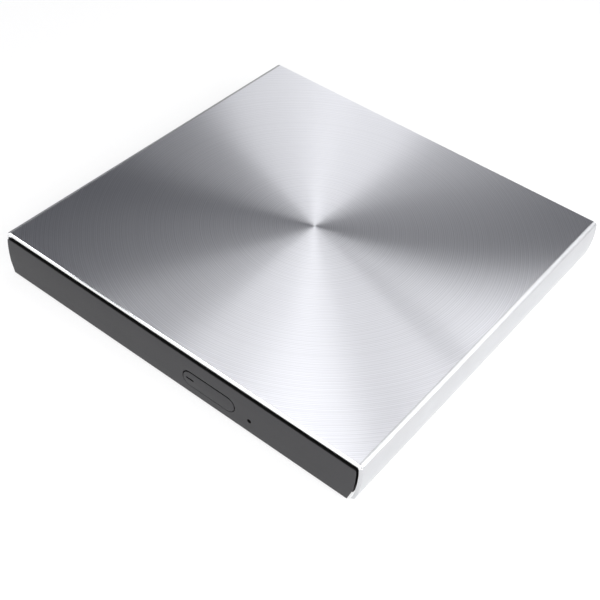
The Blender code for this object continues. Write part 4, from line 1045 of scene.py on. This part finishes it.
def make_claws():
    """Small wedges whose rounded tips stand out of the nose and hold the disc."""
    for i in range(CLAW_COUNT):
        node = f"clamp_claw_{i + 1}"
        low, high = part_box(node)
        reach = (4.6 * MM, 7.7 * MM)
        half = 1.1 * MM
        side = [(reach[0], low.z), (7.2 * MM, low.z)]
        side += arc((reach[1] - 0.4 * MM, (low.z + high.z) / 2), 0.4 * MM, -pi / 2, pi / 2, 8)
        side += [(6.6 * MM, high.z), (reach[0], high.z)]
        claw = solid(f"disc_claw_{i + 1}", in_claw_frame(
            lofted([[(r, v, z) for r, z in side] for v in (-half, half)]), i))
        soften(claw, 0.08 * MM)
        settle(claw, [FINISHES["small_plastic"]], [node])


def make_lens():
    """The moulded objective: a steep dome inside a flat rim."""
    low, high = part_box("objective_lens")
    centre = ((low.x + high.x) / 2, (low.y + high.y) / 2)
    radius = (high.x - low.x) / 2
    rim_z = high.z - 0.5 * MM
    dome = radius - 0.45 * MM
    profile = [(0, high.z)]
    steps = 10
    for i in range(1, steps + 1):
        turn = pi / 2 * i / steps
        profile.append((dome * sin(turn), rim_z + (high.z - rim_z) * cos(turn)))
    profile += [(radius - 0.05 * MM, rim_z), (radius, rim_z - 0.05 * MM), (radius, low.z),
                (0, low.z)]
    lens = solid("lens_dome", turned(profile, ROUND, centre))
    settle(lens, [FINISHES["lens_glass"]], ["objective_lens"], sharp=40.0)


def make_magnets():
    """Focus magnets standing on the sled at both ends of the lens holder's pocket."""
    low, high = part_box("pickup_sled")
    z = (high.z - 0.2 * MM, high.z + 0.3 * MM)
    blocks = [in_traverse(box_mesh(u, (-3.2 * MM, 3.2 * MM), z))
              for u in ((15.2 * MM, 18.2 * MM), (29.2 * MM, 30.0 * MM))]
    magnets = solid("focus_magnets", merged(blocks))
    soften(magnets, 0.08 * MM)
    settle(magnets, [FINISHES["bright_steel"]], [],
           nodes["pickup_sled"]["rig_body"])


def make_lead_screw():
    """A three-start worm along U: each thread makes one turn for each 3 mm."""
    start, end = 9.9 * MM, 57.0 * MM
    centre_v, centre_z = -16.5 * MM, 7.2 * MM
    radius = 0.9 * MM
    depth = 0.22 * MM
    lead = 3.0 * MM
    starts = 3
    around = 24
    count = 240
    sections = []
    for k in range(count + 1):
        u = start + (end - start) * k / count
        plain = min(u - start, end - u) < 1.5 * MM
        ring = []
        for i in range(around):
            turn = 2 * pi * i / around
            phase = (u / lead - turn / (2 * pi)) * starts % 1.0
            groove = 0.0 if plain else depth * max(0.0, 1 - abs(phase - 0.5) * 4)
            r = radius - groove
            ring.append((u, centre_v + r * cos(turn), centre_z + r * sin(turn)))
        sections.append(ring)
    screw = solid("worm_screw", in_traverse(lofted(sections)))
    settle(screw, [FINISHES["bright_steel"]], ["lead_screw"], sharp=35.0)


def make_spring():
    """The ejector spring: seven even open turns of round wire, the wire's ends capped."""
    low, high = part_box("eject_spring")
    wire = 0.25 * MM
    middle = ((low.x + high.x) / 2, (low.z + high.z) / 2)
    radius = (high.x - low.x) / 2 - wire
    turns = 7
    per_turn = 28
    count = turns * per_turn + 1
    start, end = low.y + wire, high.y - wire
    curve = bpy.data.curves.new("ejector_coil", "CURVE")
    curve.dimensions = "3D"
    curve.bevel_depth = wire
    curve.bevel_resolution = 3
    curve.use_fill_caps = True
    line = curve.splines.new("POLY")
    line.points.add(count - 1)
    for i, point in enumerate(line.points):
        turn = 2 * pi * i / per_turn
        along = start + (end - start) * i / (count - 1)
        point.co = (middle[0] + radius * cos(turn), along, middle[1] + radius * sin(turn), 1.0)
    spring = bpy.data.objects.new("ejector_coil", curve)
    bpy.context.scene.collection.objects.link(spring)
    settle(spring, [FINISHES["bright_steel"]], ["eject_spring"])


# ---------------------------------------------------------------- boards

def row_of_blocks(x, y, size, pitch, count, z):
    return [box_mesh((x + i * pitch, x + i * pitch + size[0]), (y, y + size[1]), z)
            for i in range(count)]


def make_board_parts():
    """Parts soldered under the main board: chip legs and rows of small capacitors."""
    under = board_low.z
    chip_low, chip_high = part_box("controller_chip")
    legs = []
    pitch = 0.8 * MM
    leg_z = (chip_high.z - 0.35 * MM, under + 0.02 * MM)
    count = int((chip_high.x - chip_low.x) / pitch) - 1
    for y in (chip_low.y - 0.9 * MM, chip_high.y - 0.2 * MM):
        legs += row_of_blocks(chip_low.x + pitch, y, (0.35 * MM, 1.1 * MM), pitch, count, leg_z)
    for x in (chip_low.x - 0.9 * MM, chip_high.x - 0.2 * MM):
        for i in range(count):
            y = chip_low.y + pitch * (i + 1)
            legs.append(box_mesh((x, x + 1.1 * MM), (y, y + 0.35 * MM), leg_z))
    pins = solid("chip_legs", merged(legs))
    settle(pins, [FINISHES["bright_steel"]], [], "tray", sharp=30.0)
    bodies = []
    part_z = (under - 0.7 * MM, under + 0.02 * MM)
    for k, x in enumerate((16 * MM, 22 * MM, 28 * MM)):
        bodies += row_of_blocks(x, (38 + 3 * k) * MM, (1.0 * MM, 0.5 * MM), 1.6 * MM, 3, part_z)
        bodies += row_of_blocks(x, (46 + 2 * k) * MM, (1.6 * MM, 0.8 * MM), 2.2 * MM, 2, part_z)
    parts = solid("board_parts", merged(bodies))
    soften(parts, 0.06 * MM)
    settle(parts, [FINISHES["coil"]], [], "tray")


def make_pan_ribs():
    """Three long stiffening ribs pressed into the floor of the pan."""
    floor_z = pan_low.z + 0.6 * MM
    ribs = []
    for x in (-42 * MM, -14 * MM, 14 * MM):
        outline = rounded_rectangle((x - 2.2 * MM, x + 2.2 * MM), (-58 * MM, 28 * MM), 2.1 * MM)
        ribs.append(lofted([[(a, b, floor_z - 0.1 * MM) for a, b in outline],
                            [(a, b, floor_z) for a, b in outline],
                            [(a, b, floor_z + 0.22 * MM) for a, b in inset(outline, 0.5 * MM)]]))
    pressed = solid("pan_ribs", merged(ribs))
    soften(pressed, 0.1 * MM, 2, 20.0)
    settle(pressed, [FINISHES["sheet_steel"]], [], nodes["drive_chassis"]["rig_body"])


# ---------------------------------------------------------------- parts kept from the frame

EDGE_ROUNDING = 0.08 * MM


def dress_kept_nodes():
    """The CAD parts whose shape already serves: rounded edges and the finish of their slot."""
    for node in nodes.values():
        if node.hide_render:
            continue
        for i, material in enumerate(node.data.materials):
            node.data.materials[i] = FINISHES[material.name.split(".")[0]]
        weld = node.modifiers.new("weld", "WELD")
        weld.merge_threshold = 0.001 * MM
        soften(node, EDGE_ROUNDING)


# ---------------------------------------------------------------- stage, lights, camera

FLOOR_COLOUR = (0.22, 0.22, 0.222)
FLOOR_GLOW = 0.76
BACKDROP_GLOW = 0.95
BACKDROP_RADIUS = 5.0

# Softboxes: elevation and azimuth in degrees, distance and width in metres, power in watts.
# The places were picked, and the powers solved, by a least-squares fit of the top's brightness
# seen from the camera below. They weren't set by hand, and they suit few other angles.
SOFTBOXES = (
    (40, 0, 0.35, 0.18, 0.82),
    (30, 20, 0.35, 0.18, 0.32),
    (40, 60, 0.35, 0.18, 0.23),
    (60, 124, 0.35, 0.18, 0.021),
    (30, 112, 0.80, 0.30, 0.12),
    (48, 112, 0.80, 0.30, 0.031),
    (15, 124, 0.80, 0.30, 0.28),
    (22, 124, 0.80, 0.30, 0.075),
    (30, 124, 0.80, 0.30, 0.082),
    (76, 124, 0.80, 0.30, 0.74),
    (76, 200, 0.80, 0.30, 0.18),
    (35, 210, 0.80, 0.30, 0.90),
    (62, 210, 0.80, 0.30, 0.72),
    (62, 240, 0.80, 0.30, 0.74),
    (62, 285, 0.80, 0.30, 0.16),
    (22, 300, 0.80, 0.30, 2.67),
    (48, 315, 0.80, 0.30, 1.73),
    (35, 330, 0.80, 0.30, 0.84),
)
AMBIENT = 0.037
AMBIENT_COLOUR = (0.70, 0.75, 1.0)

# The camera stands at the front right and is slightly rolled; angles in degrees, places in metres
CAMERA_PLACE = (0.15459, -0.22906, 0.25206)
CAMERA_AZIMUTH = 34.283
CAMERA_ELEVATION = 44.284
CAMERA_ROLL = 5.707
CAMERA_LENS = 65.39


def make_floor():
    """A plain light table, and a pale dome behind it that lights nothing."""
    bm = bmesh.new()
    bmesh.ops.create_circle(bm, cap_ends=True, segments=ROUND, radius=BACKDROP_RADIUS)
    floor = solid("floor", bm)
    floor.location = (0, 0, -0.02 * MM)
    finish = Finish("pale_floor", FLOOR_COLOUR, 0.5)
    finish.vary_roughness(finish.noise(4.0), 0.02)
    finish.set("Specular IOR Level", 0.1)
    finish.set("Emission Color", (1.0, 1.0, 1.0, 1.0))
    finish.set("Emission Strength", FLOOR_GLOW)
    floor.data.materials.append(finish.material)
    bm = bmesh.new()
    bmesh.ops.create_uvsphere(bm, u_segments=ROUND, v_segments=SMALL, radius=BACKDROP_RADIUS)
    dome = solid("backdrop", bm)
    finish = Finish("backdrop", (0.0, 0.0, 0.0), 1.0)
    finish.set("Emission Color", (1.0, 1.0, 1.0, 1.0))
    finish.set("Emission Strength", BACKDROP_GLOW)
    dome.data.materials.append(finish.material)
    dome.visible_glossy = False
    dome.visible_diffuse = False
    dome.visible_shadow = False
    dome.visible_transmission = False


def make_lights():
    world = bpy.data.worlds.new("studio")
    bpy.context.scene.world = world
    world.use_nodes = True
    background = world.node_tree.nodes["Background"]
    background.inputs["Color"].default_value = (*AMBIENT_COLOUR, 1.0)
    background.inputs["Strength"].default_value = AMBIENT
    for i, (elevation, azimuth, distance, width, power) in enumerate(SOFTBOXES):
        up = radians(elevation)
        turn = radians(azimuth)
        data = bpy.data.lights.new(f"softbox_{i}", "AREA")
        data.shape = "SQUARE"
        data.size = width
        data.energy = power
        lamp = bpy.data.objects.new(f"softbox_{i}", data)
        bpy.context.scene.collection.objects.link(lamp)
        lamp.location = distance * Vector((cos(up) * cos(turn), cos(up) * sin(turn), sin(up)))
        lamp.rotation_mode = "QUATERNION"
        lamp.rotation_quaternion = (-lamp.location).to_track_quat("-Z", "Y")
        lamp.visible_camera = False


def make_camera():
    """Three-quarter view from the front right, 44 degrees above the desk, slightly rolled."""
    azimuth = radians(CAMERA_AZIMUTH)
    elevation = radians(CAMERA_ELEVATION)
    lens = bpy.data.cameras.new("camera")
    lens.lens = CAMERA_LENS
    lens.sensor_width = 36.0
    lens.clip_start = 0.01
    lens.clip_end = 20.0
    camera = bpy.data.objects.new("camera", lens)
    bpy.context.scene.collection.objects.link(camera)
    back = Vector((sin(azimuth) * cos(elevation), -cos(azimuth) * cos(elevation), sin(elevation)))
    camera.location = CAMERA_PLACE
    camera.rotation_mode = "QUATERNION"
    level = (-back).to_track_quat("-Z", "Y")
    camera.rotation_quaternion = level @ Quaternion((0.0, 0.0, 1.0), radians(CAMERA_ROLL))
    bpy.context.scene.camera = camera


make_cover()
make_bezel()
make_seal()
make_button()
make_status_light()
make_base()
make_feet()
make_screws()
make_rear()
make_tray()
make_shield()
make_spindle()
make_claws()
make_lens()
make_magnets()
make_lead_screw()
make_spring()
make_board_parts()
make_pan_ribs()
dress_kept_nodes()
make_floor()
make_lights()
make_camera()
bpy.context.scene.view_settings.view_transform = "Standard"
